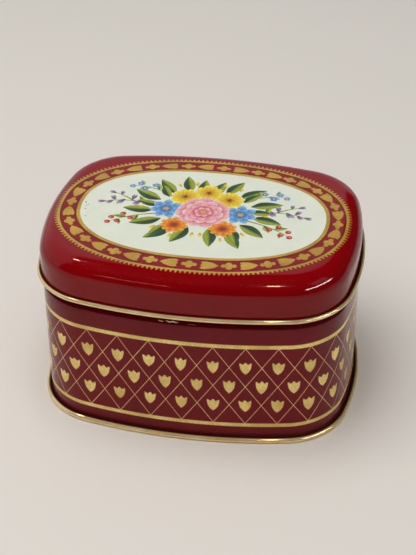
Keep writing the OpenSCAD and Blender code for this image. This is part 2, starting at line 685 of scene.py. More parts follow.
@dataclass
class Plan:
    """Bow-sided plan of the wall's outer face, as eight arcs from the front's left end."""

    width: float = 120.0
    depth: float = 91.0
    corner: float = 24.0
    front_bow: float = 11.6
    side_bow: float = 11.8
    front_steps: int = 64
    turn_steps: int = 40
    corner_x: float = field(init=False)
    corner_y: float = field(init=False)
    front_r: float = field(init=False)
    side_r: float = field(init=False)
    arcs: tuple[Arc, ...] = field(init=False)
    starts: np.ndarray = field(init=False)

    def __post_init__(self) -> None:
        """Work out the arcs from the tangency of front, corner and side."""
        bow, lean = self.front_bow, self.side_bow
        front_k, side_k = (math.tan(math.radians(angle / 2.0)) for angle in (bow, lean))
        span_x, span_y = self.width / 2.0 - self.corner, self.depth / 2.0 - self.corner
        x = self.corner_x = (span_x - span_y * side_k) / (1.0 - side_k * front_k)
        y = self.corner_y = span_y - x * front_k
        self.front_r = self.corner + x / math.sin(math.radians(bow))
        self.side_r = self.corner + y / math.sin(math.radians(lean))
        front_y, side_x = self.front_r - self.depth / 2.0, self.width / 2.0 - self.side_r
        turn = 90.0 - bow - lean
        arcs: list[Arc] = []
        for sign, front, side in ((1.0, 270.0, 0.0), (-1.0, 90.0, 180.0)):
            arcs += [
                Arc(0.0, sign * front_y, self.front_r, front - bow, 2.0 * bow, self.front_steps),
                Arc(sign * x, -sign * y, self.corner, front + bow, turn, self.turn_steps),
                Arc(sign * side_x, 0.0, self.side_r, side - lean, 2.0 * lean, self.turn_steps),
                Arc(sign * x, sign * y, self.corner, side + lean, turn, self.turn_steps),
            ]
        self.arcs = tuple(arcs)
        self.starts = np.cumsum([0.0] + [arc.length for arc in self.arcs])

    @property
    def girth(self) -> float:
        """Length once round the wall."""
        return float(self.starts[-1])

    def place(self, along: np.ndarray, out: np.ndarray) -> tuple[np.ndarray, np.ndarray]:
        """Find points from their way round the wall.

        Args:
            along: Way from the front middle, anticlockwise from above.
            out: Distance outside the wall's outer face.

        Returns:
            The points' x and y.
        """
        way = np.mod(along + self.arcs[0].length / 2.0, self.girth)
        index = np.clip(np.searchsorted(self.starts, way, side="right") - 1, 0, len(self.arcs) - 1)
        table = np.array([(a.x, a.y, a.radius, math.radians(a.start)) for a in self.arcs])[index]
        angle = table[:, 3] + (way - self.starts[index]) / table[:, 2]
        reach = table[:, 2] + out
        return table[:, 0] + reach * np.cos(angle), table[:, 1] + reach * np.sin(angle)

    def outside(self, x: np.ndarray, y: np.ndarray) -> np.ndarray:
        """Measure how far points lie outside the wall's outer face.

        Args:
            x: Across the front.
            y: Towards the back.

        Returns:
            The distances, negative inside.
        """
        x, y = np.abs(x), np.abs(y)
        angle = np.degrees(np.arctan2(y - self.corner_y, x - self.corner_x))
        corner = np.hypot(x - self.corner_x, y - self.corner_y) - self.corner
        front = np.hypot(x, y + self.front_r - self.depth / 2.0) - self.front_r
        side = np.hypot(x + self.side_r - self.width / 2.0, y) - self.side_r
        by_corner = (angle > self.side_bow) & (angle < 90.0 - self.front_bow)
        by_side = (angle <= self.side_bow) & (angle > -90.0) & (x > self.corner_x)
        by_front = (angle >= 90.0 - self.front_bow) & (y > self.corner_y)
        inside = (x < self.corner_x) & (y < self.corner_y)
        return np.select((by_corner, by_side, by_front, inside, y < self.corner_y),
                         (corner, side, front, np.maximum(front, side), side), front)

    def on_wall(self, sunk: float) -> Shape:
        """Give the rule that lays flat shapes on the wall.

        Args:
            sunk: How far the shapes' underside lies inside the wall's outer face.

        Returns:
            The rule, from way round, height and thickness to a place in space.
        """
        def rule(points: np.ndarray) -> np.ndarray:
            """Lay points on the wall.

            Args:
                points: Way round, height and thickness of each.

            Returns:
                Their places in space.
            """
            flat = points / MM
            x, y = self.place(flat[:, 0], flat[:, 2] - sunk)
            return np.column_stack((x, y, flat[:, 1])) * MM
        return rule


class Side(Enum):
    """Sides of a sheet as its section is drawn."""

    LEFT = 0
    RIGHT = 1
    EDGE = 2


@dataclass(frozen=True)
class Run:
    """Straight stretch of a sheet's middle line, in millimetres."""

    start: Pair
    end: Pair
    steps: int = 1

    def trace(self) -> list[tuple[float, float, float, float]]:
        """Walk the stretch.

        Returns:
            Points with the direction to their left.
        """
        du, dz = self.end[0] - self.start[0], self.end[1] - self.start[1]
        size = math.hypot(du, dz)
        return [(self.start[0] + du * i / self.steps, self.start[1] + dz * i / self.steps,
                 -dz / size, du / size) for i in range(self.steps + 1)]


@dataclass(frozen=True)
class Turn:
    """Round stretch of a sheet's middle line, in millimetres and degrees."""

    middle: Pair
    radius: float
    start: float
    end: float
    steps: int

    def trace(self) -> list[tuple[float, float, float, float]]:
        """Walk the stretch.

        Returns:
            Points with the direction to their left.
        """
        sign = -1.0 if self.end > self.start else 1.0
        walk = []
        for i in range(self.steps + 1):
            angle = math.radians(self.start + (self.end - self.start) * i / self.steps)
            cu, cz = math.cos(angle), math.sin(angle)
            walk.append((self.middle[0] + self.radius * cu, self.middle[1] + self.radius * cz,
                         sign * cu, sign * cz))
        return walk


@dataclass(frozen=True)
class CurlShade:
    """Painted shade behind a sheet's curl, and a painted dark reflection line along it, in mm and
    degrees.
    """

    out: float
    height: float
    radius: float
    skin: float = 0.02
    line_at: float = 24.0
    line_spread: float = 8.0
    line_share: float = 0.35
    starts: float = 62.0
    deepens: float = 26.0

    def share(self, out: np.ndarray, height: np.ndarray) -> np.ndarray:
        """Give the share of painted shade and painted reflection at points.

        Args:
            out: Distance outside the wall.
            height: Height above the ground.

        Returns:
            The shares, from 0 to 1.
        """
        lean = np.degrees(np.arctan2(height - self.height, out - self.out))
        near = np.hypot(out - self.out, height - self.height) < self.radius + self.skin
        # The line is a painted reflection of the dark room along the curl; the rest is painted
        # shade where the curl turns in
        line = self.line_share * np.exp(-((lean - self.line_at) / self.line_spread) ** 2)
        return np.maximum(np.clip((lean - self.starts) / self.deepens, 0.0, 1.0), line) * near


@dataclass
class Shell:
    """One pressed sheet: a section with a thickness, carried once round the plan."""

    name: str
    node: str
    body: str
    plan: Plan
    strokes: Sequence[Run | Turn]
    finishes: tuple[Finish, Finish, Finish]
    closed_panel: bool
    # Rule for the sheet's painted shade
    painted_shade: PaintedShade
    rubbed: Sequence[Pair] = ()
    # Shaded copies of the finishes, for faces deep in painted shade
    dulled: Sequence[Finish] = ()
    dull_above: float = 50.0
    dull_from: float = 0.25
    weld: float = 0.004
    crease: float = 38.0
    panel_corners: int = 8

    def section(self) -> tuple[np.ndarray, list[Side]]:
        """Draw the sheet's outline from its middle line.

        Returns:
            The outline's points, and the side that each of its edges belongs to.
        """
        walk: list[tuple[float, float, float, float]] = []
        for stroke in self.strokes:
            walk += stroke.trace()[1 if walk else 0:]
        left = [(u + HALF * nu, z + HALF * nz) for u, z, nu, nz in walk]
        right = [(u - HALF * nu, z - HALF * nz) for u, z, nu, nz in reversed(walk)]
        count = len(walk) - 1
        sides = [Side.LEFT] * count + [Side.EDGE] + [Side.RIGHT] * count + [Side.EDGE]
        return np.array(left + right), sides

    def build(self) -> bpy.types.Object:
        """Model the sheet: draw its section, spin it round the eight arcs and close it.

        Returns:
            The finished shell.
        """
        outline, _ = self.section()
        bpy.ops.object.select_all(action="DESELECT")
        bpy.ops.mesh.primitive_circle_add(vertices=len(outline), radius=MM, fill_type="NOTHING")
        obj = bpy.context.object
        first = self.plan.arcs[0]
        lean = math.radians(first.start)
        reach = first.radius + outline[:, 0]
        Bench.shape(obj, lambda points: np.column_stack((
            first.x + reach * math.cos(lean), first.y + reach * math.sin(lean),
            outline[:, 1])) * MM)
        if self.closed_panel:
            self.open_section(obj, len(outline) - 1)
        bpy.ops.object.mode_set(mode="EDIT")
        bpy.ops.mesh.select_all(action="SELECT")
        for arc in self.plan.arcs:
            bpy.ops.mesh.spin(steps=arc.steps, angle=math.radians(arc.sweep),
                              center=(arc.x * MM, arc.y * MM, 0.0), axis=(0.0, 0.0, -1.0))
        bpy.ops.mesh.select_all(action="SELECT")
        bpy.ops.mesh.remove_doubles(threshold=self.weld * MM)
        if self.closed_panel:
            bpy.ops.mesh.fill_holes(sides=0)
        bpy.ops.mesh.select_all(action="SELECT")
        bpy.ops.mesh.normals_make_consistent(inside=False)
        bpy.ops.object.mode_set(mode="OBJECT")
        obj.name = self.name
        obj.data.name = self.name
        self.paint(obj)
        self.rub(obj)
        Bench.smooth(obj, self.crease)
        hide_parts(self.node)
        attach(obj, self.body)
        return obj

    @staticmethod
    def open_section(obj: bpy.types.Object, last: int) -> None:
        """Take out the outline's closing edge, so that the flat panel can be filled instead.

        Args:
            obj: The section's object.
            last: Index of the outline's last vertex.
        """
        mesh = obj.data
        mesh.vertices.foreach_set("select", [False] * len(mesh.vertices))
        for edge in mesh.edges:
            edge.select = set(edge.vertices) == {0, last}
        bpy.context.tool_settings.mesh_select_mode = (False, True, False)
        bpy.ops.object.mode_set(mode="EDIT")
        bpy.ops.mesh.delete(type="EDGE_FACE")
        bpy.context.tool_settings.mesh_select_mode = (True, False, False)
        bpy.ops.object.mode_set(mode="OBJECT")

    def paint(self, obj: bpy.types.Object) -> None:
        """Give each face the finish of its side of the sheet.

        Args:
            obj: The shell's object.
        """
        dress(obj, *self.finishes, *self.dulled)
        mesh = obj.data
        count = len(mesh.polygons)
        centre, normal = np.empty(count * 3), np.empty(count * 3)
        corners = np.empty(count, dtype=np.int32)
        mesh.polygons.foreach_get("center", centre)
        mesh.polygons.foreach_get("normal", normal)
        mesh.polygons.foreach_get("loop_total", corners)
        centre = centre.reshape(-1, 3) / MM
        out = self.plan.outside(centre[:, 0], centre[:, 1])
        outline, sides = self.section()
        middles = (outline + np.roll(outline, -1, axis=0)) / 2.0
        if self.closed_panel:
            middles = middles[:-1]
        gap = np.hypot(out[:, None] - middles[None, :, 0], centre[:, 2:3] - middles[None, :, 1])
        choice = np.array([side.value for side in sides])[gap.argmin(axis=1)]
        panel = corners > self.panel_corners
        choice[panel] = np.where(normal.reshape(-1, 3)[panel, 2] > 0.0, Side.LEFT.value,
                                 Side.RIGHT.value)
        # Faces deep in painted shade, high on the sheet, take the shaded copy of their finish
        if self.dulled:
            in_painted_shade = self.painted_shade(out, centre[:, 2]) > self.dull_from
            in_painted_shade &= centre[:, 2] > self.dull_above
            choice[in_painted_shade] = len(self.finishes)
        mesh.polygons.foreach_set("material_index", choice.astype(np.int32))

    def rub(self, obj: bpy.types.Object) -> None:
        """Note on the mesh where the print is rubbed and where shade is painted.

        Args:
            obj: The shell's object.
        """
        mesh = obj.data
        x, y, height = Bench.points(obj).T / MM
        wear = np.zeros(len(height))
        for level, spread in self.rubbed:
            wear = np.maximum(wear, np.exp(-((height - level) / spread) ** 2))
        painted_shade = self.painted_shade(self.plan.outside(x, y), height)
        for name, values in (("wear", wear), ("painted_shade", painted_shade)):
            layer = mesh.attributes.new(name, "FLOAT", "POINT")
            layer.data.foreach_set("value", values.astype(np.float32))


@dataclass(frozen=True)
class Fade:
    """Painted shade that grows with height from a start over a span, up to a share, in
    millimetres.
    """

    start: float
    span: float
    most: float

    def share(self, height: np.ndarray) -> np.ndarray:
        """Give the share of painted shade at heights."""
        return np.clip((height - self.start) / self.span, 0.0, self.most)


@dataclass(frozen=True)
class Chip:
    """Ragged chip in the print of the wall's shoulder, in millimetres and degrees."""

    start: float
    end: float
    low: float
    high: float
    beat: float
    waver: float = 0.22
    phase: float = 0.6


@dataclass
class TinBody:
    """Body wall with its lock seam, and the base plate curled round its foot.

    Sizes are in millimetres. The bends and the roll have the radius of the sheet's middle line,
    the shoulder, its hollow and the foot curl that of their outer face.
    """

    plan: Plan
    flange: float = 1.3
    flange_z: float = 0.5
    bend_r: float = 0.45
    shoulder_z: float = 52.0
    shoulder_r: float = 3.0
    hollow_r: float = 0.6
    wall_top: float = 67.161
    roll_r: float = 0.62
    floor_z: float = 2.4
    foot_curl_r: float = 1.05
    foot_gap: float = 0.05
    rubbed: tuple[Pair, ...] = ((52.6, 0.6), (2.6, 1.0))
    # Painted shade under the lid's curl and just above the wall's foot
    under_curl: Fade = Fade(52.2, 0.9, 0.9)
    neck_from: float = 55.0
    at_foot: Fade = Fade(3.6, -1.4, 0.7)
    worn: tuple[Chip, ...] = (
        Chip(-8.7, -6.5, 27.0, 33.0, 1.0), Chip(-5.9, -1.2, 27.5, 37.5, 2.0),
        Chip(2.2, 5.4, 26.5, 28.0, 1.0), Chip(150.2, 153.4, 27.5, 33.0, 2.0))
    chip_faces: tuple[int, int] = (18, 2)
    chip_thick: float = 0.03
    chip_sunk: float = 0.01
    seam_width: float = 5.0
    seam_margin: float = 1.0
    seam_thick: float = 0.5
    seam_sunk: float = 0.72
    seam_fold: float = 0.15
    seam_across: int = 6
    seam_faces: int = 24
    seam_crease: float = 40.0
    line_width: float = 0.26
    line_ends: Pair = (2.7, 51.9)
    line_thick: float = 0.05
    line_sunk: float = 0.02

    def build(self) -> list[bpy.types.Object]:
        """Build the body's sheets.

        Returns:
            Wall, chips in its print, both sides of the seam and base plate.
        """
        wall = self.wall()
        details = [self.chips(), self.seam(), self.seam_line()]
        for piece in details:
            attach(piece, "tin")
        return [wall, *details, self.base()]

    def shaded(self, out: np.ndarray, height: np.ndarray) -> np.ndarray:
        """Give the share of painted shade on the wall's print: under the lid's curl and at the
        foot.

        Args:
            out: Distance outside the wall.
            height: Height above the ground.

        Returns:
            The shares, from 0 to 1.
        """
        outer = np.hypot(out + self.shoulder_r, height - self.shoulder_z) > self.shoulder_r - HALF
        shoulder = self.under_curl.share(height) * outer * (height < self.neck_from)
        foot = self.at_foot.share(height) * (out > -HALF)
        return np.maximum(shoulder, foot)

    def wall(self) -> bpy.types.Object:
        """Build the wall from its foot flange to the rolled edge on its neck.

        Returns:
            The wall.
        """
        bend = (self.bend_r - HALF, self.flange_z + self.bend_r)
        # The two shoulder rounds meet on a 3-4-5 slope.
        slope = math.degrees(math.atan2(4.0, 3.0))
        reach = self.shoulder_r + self.hollow_r
        hollow = (self.hollow_r - reach * 2.0 / 5.0, self.shoulder_z + reach * 4.0 / 5.0)
        neck = hollow[0] - self.hollow_r - HALF
        strokes = (
            Run((self.flange, self.flange_z), (bend[0], self.flange_z), 2),
            Turn(bend, self.bend_r, 270.0, 180.0, 6),
            Run((-HALF, bend[1]), (-HALF, self.shoulder_z), 12),
            Turn((-self.shoulder_r, self.shoulder_z), self.shoulder_r - HALF, 0.0, slope, 10),
            Turn(hollow, self.hollow_r + HALF, 180.0 + slope, 180.0, 6),
            Run((neck, hollow[1]), (neck, self.wall_top), 4),
            Turn((neck + self.roll_r, self.wall_top), self.roll_r, 180.0, -120.0, 20),
        )
        return Shell("body_sheet", "body_wall", "tin", self.plan, strokes,
                     (Finish.LACQUER, Finish.WALL_RED, Finish.LACQUER), False, self.shaded,
                     self.rubbed, (Finish.SHOULDER_RED,)).build()

    def on_shoulder(self, chip: Chip) -> Shape:
        """Give the rule that lays a unit grid on the shoulder.

        Args:
            chip: The chip that the grid becomes.

        Returns:
            The rule, from the unit grid to a place in space.
        """
        def rule(points: np.ndarray) -> np.ndarray:
            """Lay points on the shoulder.

            Args:
                points: Points of the unit grid.

            Returns:
                Their places in space.
            """
            step = points[:, 0] + 0.5
            swell = np.sin(math.pi * step) ** 0.5
            waver = chip.waver * np.sin(2.0 * math.pi * chip.beat * step + chip.phase)
            lean = np.radians((chip.low + chip.high) / 2.0
                              + (points[:, 1] * swell + waver) * (chip.high - chip.low))
            reach = self.shoulder_r - self.chip_sunk + points[:, 2] / MM
            x, y = self.plan.place(chip.start + (chip.end - chip.start) * step,
                                   reach * np.cos(lean) - self.shoulder_r)
            return np.column_stack((x, y, self.shoulder_z + reach * np.sin(lean))) * MM
        return rule

    def chips(self) -> bpy.types.Object:
        """Build the chips in the shoulder's print, where the lid's curl has worn it through.

        Returns:
            The chips as one object.
        """
        made = []
        for chip in self.worn:
            patch = Bench.grid("chip", *self.chip_faces)
            Bench.thicken(patch, self.chip_thick)
            Bench.shape(patch, self.on_shoulder(chip))
            made.append(patch)
        obj = Bench.join("shoulder_chips", made)
        Bench.weld(obj, FINE_WELD)
        # The chips' bright matt colour is partly a painted glint
        dress(obj, Finish.BARE_TIN_GLINT)
        return obj

    def base(self) -> bpy.types.Object:
        """Build the base plate from its raised panel to the curl round the wall's foot.

        Returns:
            The base plate.
        """
        panel_z = self.floor_z - HALF
        inner = -SHEET - self.foot_gap - HALF
        low, high = HALF + self.bend_r, panel_z - self.bend_r
        curl = (self.foot_gap + self.foot_curl_r, self.foot_curl_r)
        strokes = (
            Run((-PANEL_STRIP, panel_z), (inner - self.bend_r, panel_z), 3),
            Turn((inner - self.bend_r, high), self.bend_r, 90.0, 0.0, 6),
            Run((inner, high), (inner, low), 2),
            Turn((inner + self.bend_r, low), self.bend_r, 180.0, 270.0, 6),
            Run((inner + self.bend_r, HALF), (curl[0], HALF), 2),
            Turn(curl, self.foot_curl_r - HALF, 270.0, 540.0, 22),
        )
        return Shell("base_sheet", "base_plate", "tin", self.plan, strokes,
                     (Finish.LACQUER, Finish.LACQUER, Finish.LACQUER), True,
                     CurlShade(*curl, self.foot_curl_r).share).build()

    def strip(self, name: str, faces: int, width: float, ends: Pair,
              thick: float) -> bpy.types.Object:
        """Model a flat upright strip for the middle of the back.

        Args:
            name: Name of the new object.
            faces: Faces across the strip.
            width: Its width.
            ends: Heights of its lower and upper end.
            thick: Its thickness.

        Returns:
            The strip, ready to be laid on the wall.
        """
        back, (low, high) = self.plan.girth / 2.0, ends
        obj = Bench.grid(name, faces, self.seam_faces)
        Bench.shape(obj, lambda points: np.column_stack((
            back + points[:, 0] * width, (low + high) / 2.0 + points[:, 1] * (high - low),
            points[:, 2])) * MM)
        Bench.thicken(obj, thick)
        return obj

    def seam(self) -> bpy.types.Object:
        """Build the folded lock seam down the inside of the back.

        Returns:
            The seam.
        """
        ends = (self.floor_z + self.seam_margin, self.shoulder_z - self.seam_margin)
        obj = self.strip("lock_seam", self.seam_across, self.seam_width, ends, self.seam_thick)
        Bench.only(obj)
        edge = obj.modifiers.new("fold", "BEVEL")
        edge.width = self.seam_fold * MM
        edge.segments = 3
        edge.limit_method = "ANGLE"
        bpy.ops.object.modifier_apply(modifier=edge.name)
        Bench.shape(obj, self.plan.on_wall(self.seam_sunk))
        Bench.weld(obj, 2.0 * FINE_WELD)
        Bench.smooth(obj, self.seam_crease)
        dress(obj, Finish.LACQUER)
        return obj

    def seam_line(self) -> bpy.types.Object:
        """Build the dark line for the lock seam's fine groove on the outside of the back: painted
        shade, as a thin dark strip on the wall.

        Returns:
            The groove.
        """
        obj = self.strip("seam_line", 1, self.line_width, self.line_ends, self.line_thick)
        Bench.shape(obj, self.plan.on_wall(self.line_sunk))
        # The groove's shade is painted as a dark strip
        dress(obj, Finish.SHADOW_RED)
        return obj


@dataclass(frozen=True)
class Tulip:
    """Flat tulip head, pointed below, with three teeth above, drawn from its middle outwards."""

    width: float
    length: float
    place: tuple[float, ...] = (0.0, 0.14, 0.43, 0.60, 0.86, 1.0)
    teeth: tuple[float, ...] = (0.50, 0.46, 0.30, 0.36, 0.43, 0.44)
    belly: tuple[float, ...] = (-0.53, -0.475, -0.365, -0.27, -0.07, 0.26)
    faces: tuple[int, int] = (14, 2)

    def model(self, name: str) -> bpy.types.Object:
        """Model the head.

        Args:
            name: Name of the new object.

        Returns:
            The tulip, lying round the origin with its teeth towards +Y.
        """
        obj = Bench.grid(name, *self.faces)

        def rule(points: np.ndarray) -> np.ndarray:
            """Draw the tulip's outline.

            Args:
                points: Points of the unit grid.

            Returns:
                Their places in the tulip.
            """
            side = np.clip(np.abs(points[:, 0]) * 2.0, 0.0, 1.0)
            top = np.interp(side, self.place, self.teeth)
            low = np.interp(side, self.place, self.belly)
            rise = (low + (top - low) * (points[:, 1] + 0.5)) * self.length
            return np.column_stack((points[:, 0] * self.width * MM, rise * MM, points[:, 2]))
        Bench.shape(obj, rule)
        return obj


@dataclass
class WallPrint:
    """Gold print round the wall: two bands, a lattice between them and tulips in its diamonds.

    A band has its height and width, and a row its height and its shift in columns.
    """

    plan: Plan
    columns: int = 30
    shift: float = -0.66
    low_band: Pair = (7.64, 1.62)
    high_band: Pair = (44.63, 1.66)
    band_faces: int = 380
    line: float = 0.21
    line_lap: float = 0.08
    line_columns: float = 2.0
    line_faces: int = 40
    rows: tuple[Pair, ...] = ((16.98, 0.0), (25.96, 0.5), (34.86, 0.0))
    head: Tulip = Tulip(4.5, 5.7)
    stretch: Pair = (0.05, 0.06)
    lean: float = 2.5
    beat: float = 2.4
    thick: float = 0.04
    sunk: float = 0.018
    right_sunk: float = 0.028
    left_sunk: float = 0.024

    @property
    def pitch(self) -> float:
        """Width of one column."""
        return self.plan.girth / self.columns

    def build(self) -> list[bpy.types.Object]:
        """Build the whole print.

        Returns:
            Bands, both lattice directions and tulips.
        """
        pieces = [self.bands(), self.lattice("lattice_right", 1.0, self.right_sunk),
                  self.lattice("lattice_left", -1.0, self.left_sunk), self.tulips()]
        for piece in pieces:
            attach(piece, "tin")
        return pieces

    def bands(self) -> bpy.types.Object:
        """Build the two gold bands.

        Returns:
            The bands as one object.
        """
        strips = []
        for level, width in (self.low_band, self.high_band):
            strip = Bench.grid("band", self.band_faces, 1)
            Bench.shape(strip, lambda points, level=level, width=width: np.column_stack((
                points[:, 0] * self.plan.girth, level + points[:, 1] * width, points[:, 2])) * MM)
            Bench.thicken(strip, self.thick)
            strips.append(strip)
        obj = Bench.join("wall_bands", strips)
        Bench.shape(obj, self.plan.on_wall(self.sunk))
        Bench.weld(obj, WELD, ends=True)
        dress(obj, Finish.WALL_GOLD)
        return obj

    def lattice(self, name: str, lean: float, sunk: float) -> bpy.types.Object:
        """Build one direction of the lattice from a single line.

        Args:
            name: Name of the finished object.
            lean: 1 for lines that rise to the right, -1 to the left.
            sunk: How far their underside lies inside the wall's outer face.

        Returns:
            The lines of that direction.
        """
        low = self.low_band[0] + self.low_band[1] / 2.0 - self.line_lap
        high = self.high_band[0] - self.high_band[1] / 2.0 + self.line_lap
        run = self.line_columns * self.pitch
        upright = self.line * math.hypot(high - low, run) / run
        line = Bench.grid(name, self.line_faces, 1)
        Bench.shape(line, lambda points: np.column_stack((
            lean * (points[:, 0] + 0.5) * run,
            low + (points[:, 0] + 0.5) * (high - low) + lean * points[:, 1] * upright,
            points[:, 2])) * MM)
        Bench.thicken(line, self.thick)
        starts = [(self.shift + i * self.pitch) * MM for i in range(self.columns)]
        pieces = [Bench.copy(line, Matrix.Translation((x, 0.0, 0.0))) for x in starts]
        Bench.drop(line)
        obj = Bench.join(name, pieces)
        Bench.shape(obj, self.plan.on_wall(sunk))
        dress(obj, Finish.LINE_GOLD)
        return obj

    def sway(self, beat: float) -> Matrix:
        """Give the slight stretch and lean of one hand-cut tulip.

        Args:
            beat: Number that sets this tulip apart from its neighbours.

        Returns:
            The turn and stretch about the tulip's own middle.
        """
        wide = 1.0 + self.stretch[0] * math.sin(5.0 * beat)
        tall = 1.0 + self.stretch[1] * math.sin(3.1 * beat + 1.0)
        lean = math.radians(self.lean) * math.sin(1.7 * beat + 2.0)
        return Matrix.Rotation(lean, 4, "Z") @ Matrix.Diagonal((wide, tall, 1.0, 1.0))

    def tulips(self) -> bpy.types.Object:
        """Build three rows of tulips from a single one.

        Returns:
            The tulips as one object.
        """
        head = self.head.model("tulip")
        Bench.thicken(head, self.thick)
        pieces = []
        for level, step in self.rows:
            for i in range(self.columns):
                along = self.shift + (i + step) * self.pitch
                place = Matrix.Translation((along * MM, level * MM, 0.0))
                pieces.append(Bench.copy(head, place @ self.sway(self.beat * i + level)))
        Bench.drop(head)
        obj = Bench.join("wall_tulips", pieces)
        Bench.shape(obj, self.plan.on_wall(self.sunk))
        dress(obj, Finish.WALL_GOLD)
        return obj


@dataclass(frozen=True)
class Oval:
    """Full-shouldered oval on the lid's top, walked from its front middle, anticlockwise."""

    half_x: float
    half_y: float
    mid_x: float
    mid_y: float
    power: float = 2.3
    samples: int = 4001

    def rim(self, turn: np.ndarray) -> tuple[np.ndarray, np.ndarray]:
        """Give the rim's points, from the oval's own middle.

        Args:
            turn: Angles from the front middle, in radians.

        Returns:
            The points' x and y.
        """
        def full(wave: np.ndarray) -> np.ndarray:
            """Fill out a wave's shoulders."""
            return np.sign(wave) * np.abs(wave) ** (2.0 / self.power)
        return self.half_x * full(np.sin(turn)), -self.half_y * full(np.cos(turn))

    def walk(self) -> tuple[np.ndarray, np.ndarray]:
        """Measure the way round at many angles.

        Returns:
            The angles and the way to each of them.
        """
        angle = np.linspace(0.0, 2.0 * math.pi, self.samples)
        x, y = self.rim(angle)
        way = np.concatenate(([0.0], np.cumsum(np.hypot(np.diff(x), np.diff(y)))))
        return angle, way

    @property
    def girth(self) -> float:
        """Length once round."""
        return float(self.walk()[1][-1])

    def place(self, along: np.ndarray, out: np.ndarray) -> tuple[np.ndarray, np.ndarray]:
        """Find points from their way round.

        Args:
            along: Way from the front middle.
            out: Distance outside the oval.

        Returns:
            The points' x and y.
        """
        angle, way = self.walk()
        x, y = self.rim(np.interp(np.mod(along, way[-1]), way, angle))
        nx = np.sign(x) * np.abs(x / self.half_x) ** (self.power - 1.0) / self.half_x
        ny = np.sign(y) * np.abs(y / self.half_y) ** (self.power - 1.0) / self.half_y
        size = np.hypot(nx, ny)
        return self.mid_x + x + out * nx / size, self.mid_y + y + out * ny / size


@dataclass
class TinLid:
    """Pressed lid with a round edge and an outward curl, in millimetres.

    The skirt's value is how far the middle of its sheet stands outside the wall.
    """

    plan: Plan
    top: float = 72.5
    edge: float = 7.0
    skirt: float = 0.25
    curl_z: float = 56.9
    curl_r: float = 0.9
    rubbed: tuple[Pair, ...] = ((58.0, 0.5), (70.6, 0.5))

    def build(self) -> list[bpy.types.Object]:
        """Build the lid's sheet.

        Returns:
            The lid.
        """
        flat, bend, low = self.top - HALF, self.edge - HALF, self.top - self.edge
        inner, curl = self.curl_r - HALF, (self.skirt + self.curl_r - HALF, self.curl_z)
        strokes = (
            Run((-PANEL_STRIP, flat), (self.skirt - bend, flat), 2),
            Turn((self.skirt - bend, low), bend, 90.0, 0.0, 20),
            Run((self.skirt, low), (self.skirt, self.curl_z), 4),
            Turn(curl, inner, 180.0, 480.0, 26),
        )
        return [Shell("lid_sheet", "lid", "lid", self.plan, strokes,
                      (Finish.RED, Finish.LACQUER, Finish.LACQUER), True,
                      CurlShade(*curl, self.curl_r).share, self.rubbed).build()]

    def height(self, x: np.ndarray, y: np.ndarray) -> np.ndarray:
        """Give the height of the lid's top and round over points.

        Args:
            x: Across the front, in millimetres.
            y: Towards the back, in millimetres.

        Returns:
            The heights, in millimetres.
        """
        middle = self.skirt + HALF - self.edge
        over = np.clip(self.plan.outside(x, y) - middle, 0.0, self.edge)
        return self.top - self.edge + np.sqrt(self.edge ** 2 - over ** 2)

    def on_top(self, sunk: float) -> Shape:
        """Give the rule that lays flat shapes on the lid.

        Args:
            sunk: How far their underside lies inside the lid.

        Returns:
            The rule, in metres.
        """
        def rule(points: np.ndarray) -> np.ndarray:
            """Lift points onto the lid."""
            height = self.height(points[:, 0] / MM, points[:, 1] / MM) - sunk
            return np.column_stack((points[:, 0], points[:, 1], points[:, 2] + height * MM))
        return rule


@dataclass(frozen=True)
class Lobed:
    """Flat four-lobed motif: a tall heart with a small lobe at either end."""

    width: float = 5.8
    heart_half: float = 1.45
    heart_tall: float = 2.25
    lobe_at: float = 2.0
    lobe_half: float = 0.9
    lobe_tall: float = 1.0
    neck_tall: float = 0.45
    faces: tuple[int, int] = (28, 2)

    def model(self, name: str) -> bpy.types.Object:
        """Model the motif.

        Args:
            name: Name of the new object.

        Returns:
            The motif, lying round the origin with its small lobes along X.
        """
        obj = Bench.grid(name, *self.faces)

        def bow(x: np.ndarray, half: float, tall: float) -> np.ndarray:
            """Give the height of a half ellipse."""
            return np.sqrt(np.clip(1.0 - (x / half) ** 2, 0.0, 1.0)) * tall

        def rule(points: np.ndarray) -> np.ndarray:
            """Draw the motif's outline.

            Args:
                points: Points of the unit grid.

            Returns:
                Their places in the motif.
            """
            x = points[:, 0] * self.width
            lobe = bow(np.abs(x) - self.lobe_at, self.lobe_half, self.lobe_tall)
            heart = bow(x, self.heart_half, self.heart_tall)
            neck = np.where(np.abs(x) < self.lobe_at, self.neck_tall, 0.0)
            tall = np.maximum(np.maximum(lobe, heart), neck)
            return np.column_stack((x * MM, points[:, 1] * 2.0 * tall * MM, points[:, 2]))
        Bench.shape(obj, rule)
        return obj


